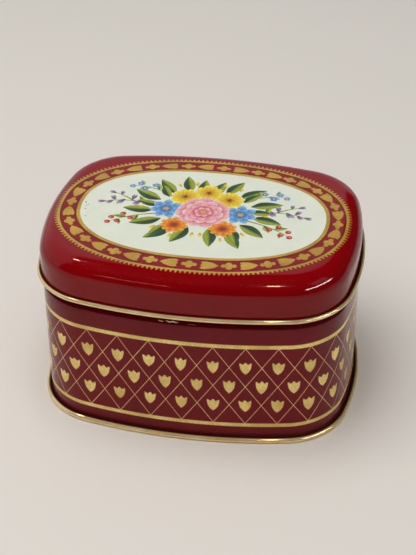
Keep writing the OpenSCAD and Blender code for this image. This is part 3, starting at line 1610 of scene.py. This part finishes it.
@dataclass
class LidPrint:
    """Printed oval on the lid: white ground, gold rings and a border of gold motifs.

    A ring has the distance of its inner edge from its oval and its width, and a pit its place
    and size. The motifs' height and drift along the border are waves round the oval.
    """

    lid: TinLid
    ground: Oval = Oval(46.8, 29.6, 0.0, -0.4)
    border: Oval = Oval(51.1, 34.0, 0.15, -0.75)
    outer: Oval = Oval(56.2, 39.4, 0.05, -1.0, 2.27)
    ring_band: Pair = (-0.10, 1.42)
    ring_line: Pair = (1.30, 0.40)
    tooth_band: Pair = (-2.0, 0.9)
    tooth_line: Pair = (-2.38, 0.45)
    tooth: tuple[float, ...] = (0.92, 1.80, 2.15, 1.80, 0.92, 0.92)
    teeth: int = 177
    head: Tulip = Tulip(4.9, 6.1, teeth=(0.46, 0.50, 0.41, 0.47, 0.50, 0.34),
                        belly=(-0.60, -0.52, -0.39, -0.29, -0.07, 0.16))
    lobed: Lobed = Lobed()
    slots: int = 40
    tall: Pair = (0.88, 0.10)
    drift: tuple[float, ...] = (-0.4, 1.7, 0.5, -0.35, 0.64)
    pits: tuple[tuple[float, float, float], ...] = (
        (-45.5, 0.1, 0.30), (-44.1, -1.5, 0.16), (-44.8, -2.1, 0.20),
        (-44.6, -4.5, 0.24), (-43.0, -6.8, 0.16), (-43.3, -9.2, 0.20))
    pit_sides: int = 9
    pit_stretch: float = 1.5
    pit_thick: float = 0.01
    pit_rise: float = 0.008
    faces: int = 240
    crease: float = 30.0
    thick: float = 0.04
    sunk: float = 0.018
    ground_sunk: float = 0.028
    line_sunk: float = 0.030

    def build(self) -> list[bpy.types.Object]:
        """Build the print apart from the spray.

        Returns:
            White ground, shadow lines, rings, toothed ring, border motifs and specks.
        """
        lines = ((self.ground, *self.ring_line), (self.outer, *self.tooth_line))
        band = ((self.ground, *self.ring_band),)
        pieces = [self.white(),
                  self.ring("ring_shadows", lines, Finish.SHADOW_RED, self.line_sunk),
                  self.ring("oval_ring", band, Finish.LID_GOLD, self.sunk),
                  self.toothed(), self.motifs(), self.specks()]
        for piece in pieces:
            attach(piece, "lid")
        return pieces

    def white(self) -> bpy.types.Object:
        """Build the white ground.

        Returns:
            The ground.
        """
        obj = Bench.disc("oval_ground", self.faces, 1.0)

        def swell(points: np.ndarray) -> np.ndarray:
            """Move the disc's rim onto the oval.

            Args:
                points: Points of the unit disc.

            Returns:
                Their places on the oval.
            """
            x, y = self.ground.rim(np.arctan2(points[:, 0], -points[:, 1]))
            return np.column_stack((x + self.ground.mid_x, y + self.ground.mid_y,
                                    points[:, 2])) * MM
        Bench.shape(obj, swell)
        Bench.thicken(obj, self.thick)
        Bench.shape(obj, self.lid.on_top(self.ground_sunk))
        Bench.smooth(obj, self.crease)
        dress(obj, Finish.WHITE)
        return obj

    def specks(self) -> bpy.types.Object:
        """Build the few dark specks where the white ground has pitted at its left end.

        Returns:
            The specks as one object.
        """
        pieces = []
        for x, y, size in self.pits:
            pit = Bench.disc("pit", self.pit_sides, size * MM)
            pit.data.transform(Matrix.Translation((x * MM, y * MM, 0.0))
                               @ Matrix.Diagonal((1.0, self.pit_stretch, 1.0, 1.0)))
            Bench.thicken(pit, self.pit_thick)
            pieces.append(pit)
        obj = Bench.join("ground_specks", pieces)
        Bench.shape(obj, self.lid.on_top(-self.pit_rise))
        dress(obj, Finish.PIT)
        return obj

    def ring(self, name: str, rings: Sequence[tuple[Oval, float, float]], finish: Finish,
             sunk: float) -> bpy.types.Object:
        """Build plain rings.

        Args:
            name: Name of the finished object.
            rings: Oval, inner distance from it and width of each ring.
            finish: Finish of the rings.
            sunk: How far their underside lies inside the lid.

        Returns:
            The rings as one object.
        """
        strips = []
        for oval, inner, width in rings:
            strip = Bench.grid(name, self.faces, 2)
            self.lay(strip, oval, inner, lambda points, width=width: (points[:, 1] + 0.5) * width)
            strips.append(strip)
        obj = Bench.join(name, strips)
        Bench.shape(obj, self.lid.on_top(sunk))
        Bench.weld(obj, WELD, ends=True)
        dress(obj, finish)
        return obj

    def lay(self, strip: bpy.types.Object, oval: Oval, inner: float, width: Shape) -> None:
        """Bend a unit strip once round an oval and give it its thickness.

        Args:
            strip: A grid of one unit.
            oval: The oval.
            inner: Distance of the strip's inner edge from the oval.
            width: Gives each point's distance from the inner edge.
        """
        girth = oval.girth

        def bend(points: np.ndarray) -> np.ndarray:
            """Bend points round the oval."""
            x, y = oval.place((points[:, 0] + 0.5) * girth, width(points) + inner)
            return np.column_stack((x * MM, y * MM, points[:, 2]))
        Bench.shape(strip, bend)
        Bench.weld(strip, WELD)
        Bench.face_up(strip)
        Bench.thicken(strip, self.thick)

    def toothed(self) -> bpy.types.Object:
        """Build the outer ring with its row of small teeth.

        Returns:
            The ring.
        """
        inner, foot = self.tooth_band
        steps = len(self.tooth)
        ring = Bench.grid("toothed_ring", self.teeth * steps, 2)

        def width(points: np.ndarray) -> np.ndarray:
            """Measure points from the ring's inner edge.

            Args:
                points: Points of the unit grid.

            Returns:
                Their distances.
            """
            step = np.rint((points[:, 0] + 0.5) * self.teeth * steps).astype(int) % steps
            tip = np.array(self.tooth)[step]
            return np.where(points[:, 1] < -0.25, 0.0, np.where(points[:, 1] < 0.25, foot, tip))
        self.lay(ring, self.outer, inner, width)
        Bench.shape(ring, self.lid.on_top(self.sunk))
        dress(ring, Finish.LID_GOLD)
        return ring

    def settle(self, slot: int) -> Shape:
        """Give the rule that bends a flat motif into its slot of the border.

        Args:
            slot: Number of the slot from the front middle.

        Returns:
            The rule, in metres.
        """
        turn = 2.0 * math.pi * slot / self.slots
        tall = self.tall[0] + self.tall[1] * math.cos(turn)
        waves = (1.0, math.cos(turn), math.sin(turn), math.cos(2.0 * turn), math.sin(2.0 * turn))
        middle = self.border.girth * slot / self.slots + float(np.dot(self.drift, waves))

        def rule(points: np.ndarray) -> np.ndarray:
            """Bend points into the slot."""
            x, y = self.border.place(points[:, 0] / MM + middle, points[:, 1] * tall / MM)
            return np.column_stack((x * MM, y * MM, points[:, 2]))
        return rule

    def motifs(self) -> bpy.types.Object:
        """Build the border: four-lobed motifs between tulips that open to front and back.

        Returns:
            The motifs as one object.
        """
        lobed, head = self.lobed.model("lobed"), self.head.model("border_tulip")
        pieces = []
        for slot in range(self.slots):
            piece = Bench.copy(head if slot % 2 else lobed)
            if slot % 2:
                opens = 1.0 if math.sin(4.0 * math.pi * slot / self.slots) > 0.0 else -1.0
                piece.data.transform(Matrix.Rotation(opens * math.pi / 2.0, 4, "Z"))
            Bench.shape(piece, self.settle(slot))
            pieces.append(piece)
        Bench.drop(lobed)
        Bench.drop(head)
        obj = Bench.join("border_motifs", pieces)
        Bench.weld(obj, WELD)
        for polygon in obj.data.polygons:
            if polygon.normal.z < 0.0:
                polygon.flip()
        Bench.thicken(obj, self.thick)
        Bench.shape(obj, self.lid.on_top(self.sunk))
        dress(obj, Finish.LID_GOLD)
        return obj


class Tip(Enum):
    """Ends that a petal or leaf can have."""

    ROUND = 0.5
    POINTED = 1.0


@dataclass(frozen=True)
class Paint:
    """Colours that a brush stroke runs through, with darker veins and a shaded half."""

    root: Colour
    body: Colour
    rim: Colour
    veins: int = 3
    vein_depth: float = 0.30
    half: Colour | None = None
    fade: float = 0.45
    rim_from: float = 0.5
    edge_from: float = 0.72
    edge_span: float = 0.6
    fold: Pair = (-0.05, 0.07)
    vein_end: float = 1.15

    def over(self, across: np.ndarray, along: np.ndarray) -> np.ndarray:
        """Colour a stroke point by point.

        Args:
            across: Place across the stroke, -1 to 1.
            along: Place along the stroke, 0 to 1.

        Returns:
            Rows of red, green, blue and one.
        """
        def mix(one: np.ndarray, two: np.ndarray, share: np.ndarray) -> np.ndarray:
            """Lay one tone over another by a share."""
            return one + (two - one) * np.clip(share, 0.0, 1.0)[:, None]
        rows = np.ones((len(along), 3))
        tone = mix(rows * self.root, rows * self.body, along / self.fade)
        tone = mix(tone, rows * self.rim, (along - self.rim_from) / self.fade)
        if self.half is not None:
            start, end = self.fold
            tone = mix(tone, rows * self.half, (across - start) / (end - start))
        tone = mix(tone, rows * self.rim, (np.abs(across) - self.edge_from) / self.edge_span)
        line = (0.5 + 0.5 * np.cos(math.pi * across * self.veins)) ** 3
        tone *= (1.0 - self.vein_depth * line * np.clip(self.vein_end - along, 0.0, 1.0))[:, None]
        return np.column_stack((tone, np.ones(len(along))))


def tint(obj: bpy.types.Object, colours: np.ndarray) -> None:
    """Write a painted colour on every vertex of a mesh."""
    layer = obj.data.color_attributes.new("tint", "FLOAT_COLOR", "POINT")
    layer.data.foreach_set("color", colours.astype(np.float32).ravel())


@dataclass(frozen=True)
class Petal:
    """One painted stroke: a petal, a bell or a leaf, in millimetres."""

    length: float
    width: float
    paint: Paint
    belly: float = 0.58
    waist: float = 0.25
    tip: Tip = Tip.ROUND
    blunt: float = 0.0
    notch: float = 0.0
    sway: float = 0.0
    tilt: float = 0.003
    notch_half: float = 0.4
    crowd: float = 1.5
    faces: tuple[int, int] = (10, 12)

    def model(self, name: str) -> bpy.types.Object:
        """Model the stroke from a flat grid.

        Args:
            name: Name of the new object.

        Returns:
            A thin plate from the origin towards +Y, with its colours on the mesh.
        """
        obj = Bench.grid(name, *self.faces)
        flat = Bench.points(obj)
        across = flat[:, 0] * 2.0
        along = 1.0 - (1.0 - np.clip(flat[:, 1] + 0.5, 0.0, 1.0)) ** self.crowd
        rise = self.waist + (1.0 - self.waist) * np.sin(
            math.pi / 2.0 * np.clip(along / self.belly, 0.0, 1.0))
        fall = np.clip((along - self.belly) / (1.0 - self.belly), 0.0, 1.0) * (1.0 - self.blunt)
        half = np.where(along < self.belly, rise,
                        np.clip(1.0 - fall ** 2.0, 0.0, 1.0) ** self.tip.value)
        dip = self.notch * np.exp(-(across / self.notch_half) ** 2) * along ** 6
        points = np.column_stack((
            across * half * self.width / 2.0 + self.sway * self.length * along ** 2,
            (along - dip) * self.length, across * self.tilt)) * MM
        Bench.shape(obj, lambda _: points)
        tint(obj, self.paint.over(across, along))
        Bench.weld(obj, FINE_WELD)
        Bench.face_up(obj)
        Bench.thicken(obj, STROKE)
        return obj


@dataclass(frozen=True)
class Dot:
    """Painted round spot with a lighter side, in millimetres."""

    radius: float
    light: Colour
    body: Colour
    dark: Colour
    glow_at: Pair = (-0.3, 0.35)
    glow_reach: float = 0.75
    rim_from: float = 0.6
    faces: int = 6

    def model(self, name: str) -> bpy.types.Object:
        """Model the spot from a flat grid.

        Args:
            name: Name of the new object.

        Returns:
            A thin round plate at the origin, with its colours on the mesh.
        """
        obj = Bench.grid(name, self.faces, self.faces)
        x, y = (Bench.points(obj)[:, :2] * 2.0).T
        round_x, round_y = x * np.sqrt(1.0 - y * y / 2.0), y * np.sqrt(1.0 - x * x / 2.0)
        points = np.column_stack((round_x * self.radius, round_y * self.radius, x * 0.0)) * MM
        Bench.shape(obj, lambda _: points)
        far = np.hypot(round_x - self.glow_at[0], round_y - self.glow_at[1])
        glow = np.clip(1.0 - far / self.glow_reach, 0.0, 1.0)[:, None]
        out = np.hypot(round_x, round_y) - self.rim_from
        edge = np.clip(out / (1.0 - self.rim_from), 0.0, 1.0)[:, None]
        tone = np.array(self.body) * (1.0 - glow) + np.array(self.light) * glow
        tone = tone * (1.0 - edge) + np.array(self.dark) * edge
        tint(obj, np.column_stack((tone, np.ones(len(tone)))))
        Bench.thicken(obj, STROKE)
        return obj


@dataclass(frozen=True)
class Whorl:
    """Ring of like petals round the middle of a bloom."""

    petal: Petal
    count: int
    inner: float
    turn: float = 0.0


@dataclass(frozen=True)
class Bloom:
    """Open flower: whorls from the outside in, and a cluster of dots in its middle."""

    name: str
    whorls: tuple[Whorl, ...]
    dot: Dot
    dots: int
    heart: float


@dataclass
class Spray:
    """Mirror-symmetrical painted spray of garden flowers on the lid's white ground."""

    lid: TinLid
    rise: float = 0.010
    step: float = 0.007
    whorl_step: float = 1.6
    petal_step: float = 0.5
    dot_step: float = 0.4
    wave: float = 0.05
    beat: float = 2.3
    phase: float = 7.0
    stem_width: Pair = (0.7, 0.3)
    stem_share: float = 0.6
    stem_faces: tuple[int, int] = (2, 22)
    stem_lines: tuple[tuple[Pair, Pair, Pair], ...] = (
        ((17.0, 1.0), (28.0, 6.5), (38.5, 2.0)), ((15.0, -3.0), (25.0, -4.5), (34.0, -11.5)),
        ((12.0, 8.0), (19.0, 15.5), (29.5, 15.0)), ((27.5, 3.9), (32.0, 7.5), (35.6, 8.6)))

    pink: Paint = Paint(ink(160, 24, 54), ink(222, 92, 114), ink(252, 200, 200))
    rose: Paint = Paint(ink(192, 50, 76), ink(236, 130, 144), ink(253, 216, 210))
    sky: Paint = Paint(ink(24, 66, 140), ink(78, 142, 208), ink(158, 206, 238), 3, 0.40)
    gold: Paint = Paint(ink(200, 116, 8), ink(246, 202, 18), ink(252, 230, 84), 3, 0.40)
    amber: Paint = Paint(ink(170, 40, 10), ink(230, 98, 20), ink(250, 184, 50), 2, 0.35)
    mauve: Paint = Paint(ink(86, 58, 110), ink(140, 100, 156), ink(200, 172, 208), 4, 0.45)
    leaf: Paint = Paint(ink(22, 50, 32), ink(34, 76, 44), ink(64, 104, 50), 1, 0.55,
                        ink(160, 174, 44))
    sprout: Paint = Paint(ink(52, 84, 34), ink(84, 124, 46), ink(150, 174, 62), 1, 0.45,
                          ink(184, 194, 66))

    def build(self) -> list[bpy.types.Object]:
        """Build the spray from the back layers to the front ones.

        Returns:
            Stems, leaves, sprigs and blooms.
        """
        pieces = [self.stems(), self.leaves(), self.sprigs(), self.blooms()]
        for piece in pieces:
            Bench.shape(piece, self.lid.on_top(-self.rise))
            dress(piece, Finish.BRUSH)
            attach(piece, "lid")
        return pieces

    def put(self, pattern: bpy.types.Object, at: Pair, angle: float, layer: float,
            size: float = 1.0, mirrored: bool = True) -> list[bpy.types.Object]:
        """Copy a pattern to a place on the right, and to its mirror place on the left.

        Args:
            pattern: The stroke to copy; it points towards +Y.
            at: Place of its root, in millimetres.
            angle: Direction that it points in, in degrees from +X.
            layer: Paint layer that it lies in.
            size: Its scale.
            mirrored: Whether there is a copy on the left.

        Returns:
            The copies.
        """
        made = []
        for x, facing in ((at[0], angle), (-at[0], 180.0 - angle))[:2 if mirrored else 1]:
            move = (Matrix.Translation((x * MM, at[1] * MM, layer * self.step * MM))
                    @ Matrix.Rotation(math.radians(facing - 90.0), 4, "Z")
                    @ Matrix.Diagonal((size, size, 1.0, 1.0)))
            made.append(Bench.copy(pattern, move))
        return made

    def stem(self, start: Pair, pull: Pair, end: Pair) -> bpy.types.Object:
        """Model a curved stem that thins towards its end.

        Args:
            start: Where it leaves the bunch, in millimetres.
            pull: Point that bends it.
            end: Where it ends.

        Returns:
            The stem as a thin plate.
        """
        obj = Bench.grid("stem", *self.stem_faces)
        flat = Bench.points(obj)
        across, along = flat[:, 0] * 2.0, (flat[:, 1] + 0.5)[:, None]
        one, two, three = np.array(start), np.array(pull), np.array(end)
        path = one * (1 - along) ** 2 + two * 2 * along * (1 - along) + three * along ** 2
        lead = (two - one) * 2 * (1 - along) + (three - two) * 2 * along
        lead /= np.linalg.norm(lead, axis=1)[:, None]
        half = np.interp(along[:, 0], (0.0, 1.0), self.stem_width) / 2.0 * across
        points = np.column_stack((path[:, 0] + lead[:, 1] * half, path[:, 1] - lead[:, 0] * half,
                                  across * 0.0)) * MM
        Bench.shape(obj, lambda _: points)
        tint(obj, self.sprout.over(across * self.stem_share, along[:, 0]))
        Bench.face_up(obj)
        Bench.thicken(obj, STROKE)
        return obj

    def stems(self) -> bpy.types.Object:
        """Build the stems of the sprigs on both sides.

        Returns:
            The stems as one object.
        """
        made = []
        for side in (1.0, -1.0):
            for line in self.stem_lines:
                made.append(self.stem(*((side * x, y) for x, y in line)))
        return Bench.join("spray_stems", made)

    def leaves(self) -> bpy.types.Object:
        """Build the leaves that frame the blooms, and the yellow flecks between them.

        Returns:
            The leaves and flecks as one object.
        """
        broad = Petal(11.2, 4.7, self.leaf, 0.42, 0.10, Tip.POINTED, sway=0.12).model("leaf")
        small = Petal(5.4, 2.2, self.sprout, 0.42, 0.10, Tip.POINTED, sway=-0.12).model("leaflet")
        fleck = Petal(2.8, 1.5, self.gold, 0.5, 0.20).model("fleck")
        made: list[bpy.types.Object] = []
        for at, angle, size, layer in (
                ((2.0, 12.0), 80.0, 1.00, 1), ((7.0, 14.0), 68.0, 1.00, 2),
                ((12.5, 12.0), 44.0, 1.05, 1), ((17.5, 6.5), 22.0, 1.10, 2),
                ((19.0, -1.0), -8.0, 1.05, 1), ((15.0, -6.5), -30.0, 1.10, 2),
                ((10.5, -12.5), -50.0, 1.05, 1), ((4.0, -10.5), -74.0, 1.10, 2),
                ((17.0, 2.5), 8.0, 0.85, 3), ((12.5, -10.0), -66.0, 0.90, 3),
                ((14.5, 9.0), 58.0, 0.80, 3)):
            made += self.put(broad, at, angle, layer, size)
        for at, angle, size in (
                ((24.0, -5.4), -68.0, 1.0), ((28.0, -7.4), 8.0, 1.0), ((19.5, 13.2), 84.0, 0.9),
                ((23.0, 14.9), -22.0, 0.9), ((23.5, 3.6), 66.0, 0.9), ((31.0, 4.6), -46.0, 0.9),
                ((30.6, -9.4), -96.0, 0.7), ((26.0, 16.0), 70.0, 0.7)):
            made += self.put(small, at, angle, 2, size)
        for at, angle, size in (
                ((5.4, 18.6), 82.0, 1.0), ((11.6, 17.0), 62.0, 0.8), ((16.4, 12.2), 26.0, 0.9),
                ((16.0, -11.8), -44.0, 1.0), ((9.2, -16.4), -74.0, 0.9),
                ((1.4, -14.2), -84.0, 1.0), ((22.6, 0.6), 12.0, 0.8)):
            made += self.put(fleck, at, angle, 2, size)
        for pattern in (broad, small, fleck):
            Bench.drop(pattern)
        return Bench.join("spray_leaves", made)

    def sprigs(self) -> bpy.types.Object:
        """Build the mauve bells, the berries and the small flowers on the stems.

        Returns:
            The bells, berries and small flowers as one object.
        """
        bell = Petal(4.2, 2.5, self.mauve, 0.66, 0.30, blunt=0.12, notch=0.16).model("bell")
        cup = Petal(1.7, 1.1, self.leaf, 0.5, 0.35, Tip.POINTED).model("cup")
        berry = Dot(1.15, ink(246, 170, 150), ink(206, 46, 44), ink(150, 20, 28)).model("berry")
        bud = Petal(2.3, 1.7, self.sky, 0.6, 0.2).model("bud")
        eye = Dot(0.55, ink(252, 236, 150), ink(244, 206, 70), ink(214, 150, 30)).model("eye")
        made: list[bpy.types.Object] = []
        for at, angle, size in (((25.2, 4.6), -62.0, 0.95), ((28.2, 4.9), 98.0, 0.85),
                                ((31.4, 4.5), -58.0, 0.90), ((34.8, 3.6), 60.0, 0.80),
                                ((35.6, 3.2), -50.0, 0.75), ((38.2, 2.1), -12.0, 0.75),
                                ((35.4, 8.5), 20.0, 0.70), ((33.0, 7.6), 88.0, 0.65)):
            made += self.put(bell, at, angle, 4, size)
            made += self.put(cup, at, angle, 5, size)
        for at in ((26.4, -8.0), (29.6, -5.6), (31.0, -10.9), (33.6, -8.6), (34.4, -12.0)):
            made += self.put(berry, at, 0.0, 4)
        for at, size in (((21.4, 16.4), 0.72), ((25.2, 13.6), 0.80), ((27.4, 16.8), 0.68),
                         ((30.2, 14.6), 0.64)):
            for i in range(5):
                made += self.put(bud, at, 90.0 + 72.0 * i, 4 + self.petal_step * (i % 2), size)
            made += self.put(eye, at, 0.0, 6)
        for pattern in (bell, cup, berry, bud, eye):
            Bench.drop(pattern)
        return Bench.join("spray_sprigs", made)

    def flowers(self) -> tuple[tuple[Bloom, Pair, int], ...]:
        """List the open flowers.

        Returns:
            Each flower with its place on the right or middle and its first layer.
        """
        stamen = Dot(0.42, ink(252, 236, 150), ink(240, 190, 60), ink(200, 130, 24))
        seed = Dot(0.45, ink(196, 120, 40), ink(124, 62, 20), ink(84, 38, 14))
        dahlia = Bloom("dahlia", (
            Whorl(Petal(7.2, 5.6, self.pink, 0.62, 0.35), 11, 3.1),
            Whorl(Petal(5.8, 4.7, self.rose, 0.62, 0.35), 9, 2.1, 18.0),
            Whorl(Petal(4.4, 3.5, self.pink, 0.62, 0.35), 8, 1.2, 6.0),
            Whorl(Petal(2.8, 2.4, self.rose, 0.62, 0.35), 6, 0.5, 24.0)), stamen, 7, 0.85)
        star = Bloom("star", (
            Whorl(Petal(6.0, 3.8, self.sky, 0.48, 0.28, Tip.POINTED), 7, 0.6),
            Whorl(Petal(3.8, 2.4, self.sky, 0.48, 0.28, Tip.POINTED), 7, 0.5, 26.0)),
            stamen, 7, 0.95)
        primrose = Bloom("primrose", (
            Whorl(Petal(5.1, 5.1, self.gold, 0.70, 0.22, blunt=0.10, notch=0.18), 5, 0.4),),
            seed, 5, 0.60)
        daisy = Bloom("daisy", (
            Whorl(Petal(4.7, 2.3, self.amber, 0.66, 0.30), 11, 0.7),
            Whorl(Petal(3.3, 1.8, self.amber, 0.66, 0.30), 9, 0.6, 14.0)), seed, 7, 0.80)
        return ((daisy, (9.2, -10.2), 7), (primrose, (8.6, 9.9), 7), (star, (14.3, 0.4), 9),
                (primrose, (0.0, 13.9), 7), (dahlia, (0.0, 0.0), 11))

    def blooms(self) -> bpy.types.Object:
        """Build the open flowers, each petal copied from one of its whorl.

        Returns:
            The flowers as one object.
        """
        made: list[bpy.types.Object] = []
        for bloom, (x, y), layer in self.flowers():
            mirrored = x > 0.0
            for number, whorl in enumerate(bloom.whorls):
                petal = whorl.petal.model(bloom.name)
                for i in range(whorl.count):
                    angle = 90.0 + whorl.turn + 360.0 * i / whorl.count
                    lean = math.radians(angle)
                    root = (x + whorl.inner * math.cos(lean), y + whorl.inner * math.sin(lean))
                    size = 1.0 + self.wave * math.sin(self.phase + self.beat * i + number)
                    lift = layer + self.petal_step * (i % 2)
                    made += self.put(petal, root, angle, lift, size, mirrored)
                Bench.drop(petal)
                layer += self.whorl_step
            dot, round_dots = bloom.dot.model("dot"), bloom.dots - 1
            for i in range(round_dots):
                lean = 2.0 * math.pi * i / round_dots
                spot = (x + bloom.heart * math.cos(lean), y + bloom.heart * math.sin(lean))
                made += self.put(dot, spot, 0.0, layer, mirrored=mirrored)
            made += self.put(dot, (x, y), 0.0, layer + self.dot_step, mirrored=mirrored)
            Bench.drop(dot)
        return Bench.join("spray_blooms", made)


@dataclass(frozen=True)
class Lamp:
    """Flat light for matt surfaces or for glints alone, in millimetres and watts."""

    name: str
    at: Point
    size: Pair
    power: float
    colour: Colour
    glint: bool = True

    def hang(self, towards: Point) -> None:
        """Hang the light.

        Args:
            towards: The point that it faces, in millimetres.
        """
        lamp = bpy.data.lights.new(self.name, "AREA")
        lamp.shape = "RECTANGLE"
        lamp.size, lamp.size_y = self.size[0] * MM, self.size[1] * MM
        lamp.energy = self.power
        lamp.color = self.colour
        obj = bpy.data.objects.new(self.name, lamp)
        bpy.context.collection.objects.link(obj)
        place = Vector(self.at) * MM
        obj.location = place
        obj.rotation_euler = (Vector(towards) * MM - place).to_track_quat("-Z", "Y").to_euler()
        obj.visible_glossy, obj.visible_diffuse = self.glint, not self.glint


@dataclass
class Studio:
    """Pale floor, soft lights and the camera at the photograph's angle.

    The focal length and the frame's width are in pixels. Each side of the pale wall has the
    direction that it faces and the span over which it fades.
    """

    focal: float = 1423.5
    frame_width: int = 416
    sensor: float = 36.0
    azimuth: float = 10.245
    elevation: float = 35.062
    roll: float = -0.5127
    distance: float = 577.431
    target: Point = (-1.464, 17.651, 30.0)
    lit: Point = (0.0, 0.0, 50.0)
    lamps: tuple[Lamp, ...] = (
        Lamp("soft_ceiling", (-190.0, -130.0, 1030.0), (900.0, 900.0), 8.7, PLAIN, False),
        Lamp("low_strip", (-350.0, -845.0, 470.0), (320.0, 14.0), 0.2, WARM),
        Lamp("lamp_left", (-600.0, 108.0, 1238.0), (110.0, 110.0), 2.4, WARM),
        Lamp("lamp_front", (196.0, -680.0, 1130.0), (62.0, 110.0), 1.2, WARM),
        Lamp("lamp_right", (1040.0, -420.0, 617.0), (1100.0, 62.0), 10.0, PLAIN),
        Lamp("glow_right", (880.0, -185.0, 917.0), (520.0, 400.0), 0.42, PLAIN))
    wall_sides: tuple[tuple[Point, Pair], ...] = (
        ((-1.62, 0.66, -1.0), (-0.10, 0.12)), ((-0.375, 0.927, 0.0), (-0.04, 0.06)))
    dark_room: float = 0.03
    pale_wall: float = 0.64
    even_light: float = 0.27
    sky_tone: Colour = (0.92, 0.94, 1.0)
    floor_size: float = 6.0

    def build(self) -> None:
        """Set up the ground, the light and the camera."""
        self.floor()
        self.world()
        for lamp in self.lamps:
            lamp.hang(self.lit)
        self.camera()
        bpy.context.scene.view_settings.view_transform = "Standard"

    def floor(self) -> None:
        """Lay the floor."""
        bpy.ops.object.select_all(action="DESELECT")
        bpy.ops.mesh.primitive_plane_add(size=self.floor_size)
        obj = bpy.context.object
        obj.name = "floor"
        dress(obj, Finish.FLOOR)

    def world(self) -> None:
        """Light the scene evenly from all round; gloss shows a dark room with one pale wall."""
        world = bpy.data.worlds.new("even_light")
        world.use_nodes = True
        nodes, links = world.node_tree.nodes, world.node_tree.links
        sky, path = nodes["Background"], nodes.new("ShaderNodeLightPath")
        facing = nodes.new("ShaderNodeTexCoord").outputs["Generated"]
        both = nodes.new("ShaderNodeMath")
        both.operation = "MULTIPLY"
        for target, (lean, fade) in zip(both.inputs, self.wall_sides):
            side, node = nodes.new("ShaderNodeVectorMath"), nodes.new("ShaderNodeMapRange")
            side.operation = "DOT_PRODUCT"
            side.inputs[1].default_value = lean
            links.new(facing, side.inputs[0])
            node.interpolation_type = "SMOOTHSTEP"
            node.inputs["From Min"].default_value, node.inputs["From Max"].default_value = fade
            links.new(side.outputs["Value"], node.inputs["Value"])
            links.new(node.outputs["Result"], target)
        mirrored, level = nodes.new("ShaderNodeMapRange"), nodes.new("ShaderNodeMix")
        mirrored.inputs["To Min"].default_value = self.dark_room
        mirrored.inputs["To Max"].default_value = self.pale_wall
        links.new(both.outputs["Value"], mirrored.inputs["Value"])
        level.inputs[2].default_value = self.even_light
        links.new(path.outputs["Is Glossy Ray"], level.inputs[0])
        links.new(mirrored.outputs["Result"], level.inputs[3])
        links.new(level.outputs[0], sky.inputs["Strength"])
        sky.inputs["Color"].default_value = (*self.sky_tone, 1.0)
        bpy.context.scene.world = world

    def camera(self) -> None:
        """Set the camera at the photograph's angle, with its slight roll."""
        az, el, roll = (math.radians(v) for v in (self.azimuth, self.elevation, self.roll))
        back = Vector((math.sin(az) * math.cos(el), -math.cos(az) * math.cos(el), math.sin(el)))
        right = Vector((math.cos(az), math.sin(az), 0.0))
        up = back.cross(right)
        across = right * math.cos(roll) + up * math.sin(roll)
        upward = up * math.cos(roll) - right * math.sin(roll)
        data = bpy.data.cameras.new("photo_angle")
        data.sensor_fit = "HORIZONTAL"
        data.sensor_width = self.sensor
        data.lens = self.focal * self.sensor / self.frame_width
        data.clip_start = 0.01
        obj = bpy.data.objects.new("photo_angle", data)
        bpy.context.collection.objects.link(obj)
        turn = Matrix((across, upward, back)).transposed().to_4x4()
        spot = (Vector(self.target) + back * self.distance) * MM
        obj.matrix_world = Matrix.Translation(spot) @ turn
        bpy.context.scene.camera = obj


def main() -> None:
    """Build the tin, its prints and the studio, and report each piece."""
    logging.basicConfig(level=logging.INFO, format="%(message)s")
    plan = Plan()
    lid = TinLid(plan)
    pieces: list[bpy.types.Object] = []
    for part in (TinBody(plan), WallPrint(plan), lid, LidPrint(lid), Spray(lid)):
        made = part.build()
        pieces += made
        for obj in made:
            LOG.info("%s: %d faces", obj.name, len(obj.data.polygons))
    Studio().build()
    LOG.info("%d pieces built", len(pieces))


if __name__ == "__main__":
    main()
